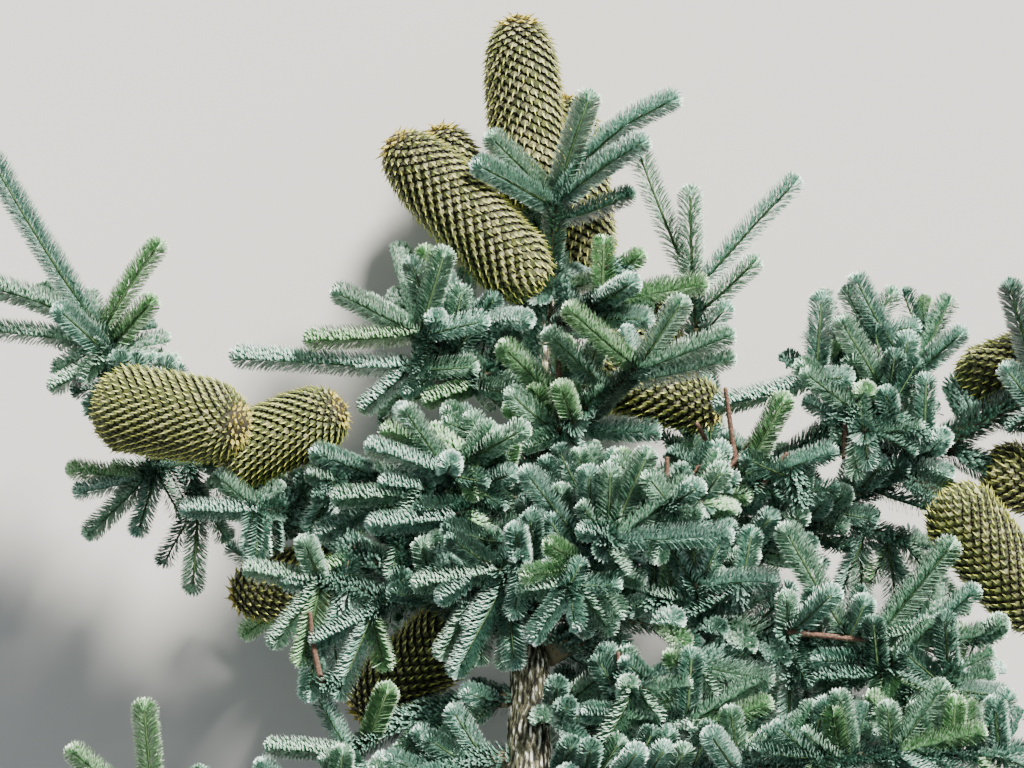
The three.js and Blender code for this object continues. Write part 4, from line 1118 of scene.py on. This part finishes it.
def in_opening(points):
    """True where the shoot would close a gap of the crown or cover a cone."""
    if any(np.linalg.norm(points[-TIP_POINTS:, :2] - [x, y], axis=1).min() < r for x, y, r in OPENINGS):
        return True
    fine = along_points(points, COVER_PLACES)
    for carrier, place, base, tip, radius in CONES.values():
        base, tip = vec(base), vec(tip)
        span = (tip - base)[:2]
        t = np.clip((fine[:, :2] - base[:2]) @ span / (span @ span), 0, 1)
        axis = base + (tip - base) * t[:, None]
        near = np.linalg.norm(fine[:, :2] - axis[:, :2], axis=1) < radius + CONE_CLEARANCE
        if np.any(near & (fine[:, 2] > axis[:, 2])):
            return True
    return False


def join_twig(name, start):
    """Short twig from the nearest twig of the mass to a listed shoot."""
    places = np.concatenate([spaced(points, JOIN_PLACES, JOIN_END) for points, kind in masses[name]])
    gaps = np.linalg.norm(places - start, axis=1)
    if gaps.min() > JOIN_GAP:
        masses[name].append((straight(places[gaps.argmin()], start), "stem"))


def add_shoot(name, points, kind):
    masses[name].append((points, kind))
    shoot_axes.append(spaced(points, AXIS_PLACES))


# Least gap of a set, an inner and a bough shoot to the others' axes
SET_CROWD, INNER_CROWD, BOUGH_CROWD = 4.5, 8.5, 9


def grow_set_shoots():
    """Old axes and short shoots from the lists."""
    for name, rows in OLD_AXES.items():
        for x, y, z, *way in rows:
            points = arc([x, y, z], *way)
            join_twig(name, points[0])
            masses[name].append((points, "bare"))
    for wanted in MASSES:
        for x, y, z, bearing, rise, *rest in FINER.get(wanted, []):
            for turn in RISE_TRIES:
                points = arc([x, y, z], bearing, rise + turn, *rest)
                name = owner_of(points, SET_CROWD, wanted)
                if name:
                    join_twig(name, points[0])
                    add_shoot(name, points, "shoot")
                    break


# Shoots behind the named ones, from every stem and from the boughs and trunk within a mass
FILL_PER_STEM = 30
FILL_SLACK = 4
BOUGH_SLACK = 70
# Flat masses take flat shoots, up to this height in millimetres
FLAT_HEIGHT = 80
TRUNK_START = 0.4
BOUGH_START = 0.02
LIMB_STEP = 1.6
WAY_STEP = 0.03
# Places on a stem, rises and reaches of the inner shoots
INNER_PLACES = (0.3, 1)
INNER_RISES = (-60, 35)
INNER_REACHES = (24, 54)
# Share of the way out, along the limb and up in a limb's shoot, and its reaches
OUTWARD = (0.7, 1.2)
ONWARD = 0.7
UPWARD = 0.2
LIMB_REACHES = (24, 46)


def fill_from_stems():
    for name in MASSES:
        low, high = boxes[name]
        steep = min(1, (high[2] - low[2]) / FLAT_HEIGHT)
        for stem in [points for points, kind in masses[name] if kind == "stem"]:
            for k in range(FILL_PER_STEM):
                root = along_points(stem, rng.uniform(*INNER_PLACES))
                bearing, rise = rng.uniform(0, 360), rng.uniform(*INNER_RISES) * steep
                points = arc(root, bearing, rise, rng.uniform(*INNER_REACHES))
                if not in_opening(points) and owner_of(points, INNER_CROWD, name, FILL_SLACK) == name:
                    add_shoot(name, points, "inner")


def fill_from_limbs():
    for limb_name, limb in limbs.items():
        on_trunk = limb_name == "trunk"
        first = TRUNK_START if on_trunk else BOUGH_START
        for k in range(int(limb.reach * (1 - first) / LIMB_STEP)):
            place = rng.uniform(first, 1)
            way = unit(limb.at(min(1, place + WAY_STEP)) - limb.at(place - WAY_STEP))
            out = rng.standard_normal(3)
            out = unit(out - way * (out @ way))
            aim = unit(out * rng.uniform(*OUTWARD) + way * ONWARD + TREE_UP * UPWARD)
            root = limb.at(place) + out * (limb.radius(place) - 1)
            points = straight(root, root + aim * rng.uniform(*LIMB_REACHES))
            if not in_opening(points):
                name = owner_of(points, BOUGH_CROWD, None, 0 if on_trunk else BOUGH_SLACK)
                if name:
                    add_shoot(name, points, "inner")


grow_set_shoots()
fill_from_stems()
fill_from_limbs()

# A new piece of needles starts from this many triangles, so that each stays under 200,000
PIECE_TRIANGLES = 130000
TWIG_STEPS = 7
# Below this height a shoot is in deep shade and bears fewer needles
DEEP = 130
INNER_DENSITY = 4.0
NAMED_DENSITY = 8.5
# Longer shoots bear longer needles: share at no length, its growth per millimetre, and its range
REACH_START = 0.85
REACH_RATE = 0.003
REACH_RANGE = (0.92, 1.2)
# Chances of the tints young, glaucous, mid and shade; shade is painted shade, dealt most to the inner shoots
INNER_ODDS = (0.05, 0.26, 0.31, 0.38)
NAMED_ODDS = (0.18, 0.44, 0.34, 0.04)
# Radii from root to tip of a bare axis, a stem and a shoot's twig, and the axis's scaly relief
AXIS_RADII = (2.4, 1.3)
STEM_RADII = (2.6, 2.2)
TWIG_RADII = (1.4, 0.8)
AXIS_RINGS = 36
AXIS_SIDES = 10
AXIS_RELIEF = 0.5
# Places among the twigs' finishes
YOUNG_TWIG, OLD_TWIG, BARE_AXIS = range(3)
# Start of the trunk's old needles, and places along a limb that bears them
COVERED_FROM = 0.5
LIMB_PLACES = 24
# Bough tops that stand in the light: their needles take the paler mid tint instead of the shade tint, as
# painted light
PALE_BOUGHS = ("bough_right_low", "bough_low_right")


def dress_twig(twigs, needles, path, kind):
    points = spaced(path, TWIG_STEPS)
    if kind == "bare":
        scaly = np.indices((AXIS_RINGS, AXIS_SIDES)).sum(axis=0) % 2 * AXIS_RELIEF
        axis = spaced(path, AXIS_RINGS)
        tube(twigs, axis, np.linspace(*AXIS_RADII, AXIS_RINGS), AXIS_SIDES, BARE_AXIS, scaly)
    elif kind == "stem":
        tube(twigs, points, np.linspace(*STEM_RADII, TWIG_STEPS), 6, OLD_TWIG)
        needles_on(needles, points, rng, SHADE, **STEM_NEEDLES)
    else:
        inner = kind == "inner"
        tube(twigs, twig_path(points)[::2], np.linspace(*TWIG_RADII, 4), 3 if inner else 4, YOUNG_TWIG)
        tint = int(rng.choice(len(NEEDLE_TINTS), p=INNER_ODDS if inner else NAMED_ODDS))
        sparse = inner or points[:, 2].mean() < DEEP
        low, high = REACH_RANGE
        share = REACH_START + REACH_RATE * length_of(points[0], points[-1])
        reach = NEEDLE_REACH * min(high, max(low, share))
        needles_on(needles, points, rng, tint, INNER_DENSITY if sparse else NAMED_DENSITY, reach,
                   tips=INNER_TIP_NEEDLES if sparse else TIP_NEEDLES)


def dress_foliage():
    twigs = Mesh()
    pieces = [(Mesh(), [])]
    for name in MASSES:
        if pieces[-1][0].triangles() > PIECE_TRIANGLES:
            pieces.append((Mesh(), []))
        needles, names = pieces[-1]
        names.append(name)
        for path, kind in masses[name]:
            dress_twig(twigs, needles, path, kind)
    # Old needles along the boughs, the covered part of the trunk and the stalks, mostly in the shade tint,
    # which is painted shade
    needles = Mesh()
    pieces.append((needles, []))
    for name, limb in limbs.items():
        t = np.linspace(COVERED_FROM if name == "trunk" else 0, 1, LIMB_PLACES)
        points = limb.at(t) if name == "trunk" else bough_line(limb, t)
        needles_on(needles, points, rng, MID if name in PALE_BOUGHS else SHADE, carrier=limb.radius(t),
                   **BOUGH_NEEDLES)
    for name, row in CONES.items():
        points = np.linspace(stalks[name][0], vec(row[2]), STALK_RINGS)
        needles_on(needles, points, rng, SHADE, **STALK_NEEDLES)
    twigs.build("twigs", "bark", [young_twig, old_twig, axis_bark])
    for k, (needles, names) in enumerate(pieces):
        needles.build(f"needles_{k + 1}", "needles", needle_finishes, names)


dress_foliage()

# Floor, light and camera, in metres
FLOOR_HALF = 200.0
FLOOR_COLOUR = "#d2d1cd"
# Wide soft key from the upper right, as in the photograph, and an even pale surround
KEY_STRENGTH = 14.0
KEY_SOFTNESS = 12
KEY_FROM = (0.5, 0.88, 0.66)
KEY_COLOUR = "#fffaf3"
SURROUND_STRENGTH = 0.5
SURROUND_COLOUR = "#e6ecf3"
# The photograph's frame is 0.8192 m wide at the middle of the crown, seen square on from above
VIEW_WIDTH = 0.8192
VIEW_HEIGHT = 8.0
MIDDLE_HEIGHT = 0.2
SENSOR_MM = 36.0


def link_object(name, data):
    piece = bpy.data.objects.new(name, data)
    bpy.context.scene.collection.objects.link(piece)
    return piece


def lay_floor():
    mesh = bpy.data.meshes.new("floor")
    corners = [(x * FLOOR_HALF, y * FLOOR_HALF, 0) for x, y in ((-1, -1), (1, -1), (1, 1), (-1, 1))]
    mesh.from_pydata(corners, [], [(0, 1, 2, 3)])
    mesh.materials.append(new_finish("floor_matt_paint", 0.9, FLOOR_COLOUR)[0])
    link_object("floor", mesh)


def light_scene():
    sun = bpy.data.lights.new("key", "SUN")
    sun.energy = KEY_STRENGTH
    sun.angle = math.radians(KEY_SOFTNESS)
    sun.color = linear(KEY_COLOUR)[:3]
    link_object("key", sun).rotation_euler = Vector(KEY_FROM).to_track_quat("Z", "Y").to_euler()
    world = bpy.data.worlds.new("studio")
    world.use_nodes = True
    surround = world.node_tree.nodes["Background"].inputs
    surround["Color"].default_value = linear(SURROUND_COLOUR)
    surround["Strength"].default_value = SURROUND_STRENGTH
    bpy.context.scene.world = world


def set_camera():
    camera = bpy.data.cameras.new("camera")
    camera.sensor_width = SENSOR_MM
    camera.lens = SENSOR_MM * VIEW_HEIGHT / VIEW_WIDTH
    camera.clip_end = 500.0
    eye = link_object("camera", camera)
    eye.location = (SHIFT[0] / 1000, SHIFT[1] / 1000, MIDDLE_HEIGHT + VIEW_HEIGHT)
    bpy.context.scene.camera = eye


lay_floor()
light_scene()
set_camera()
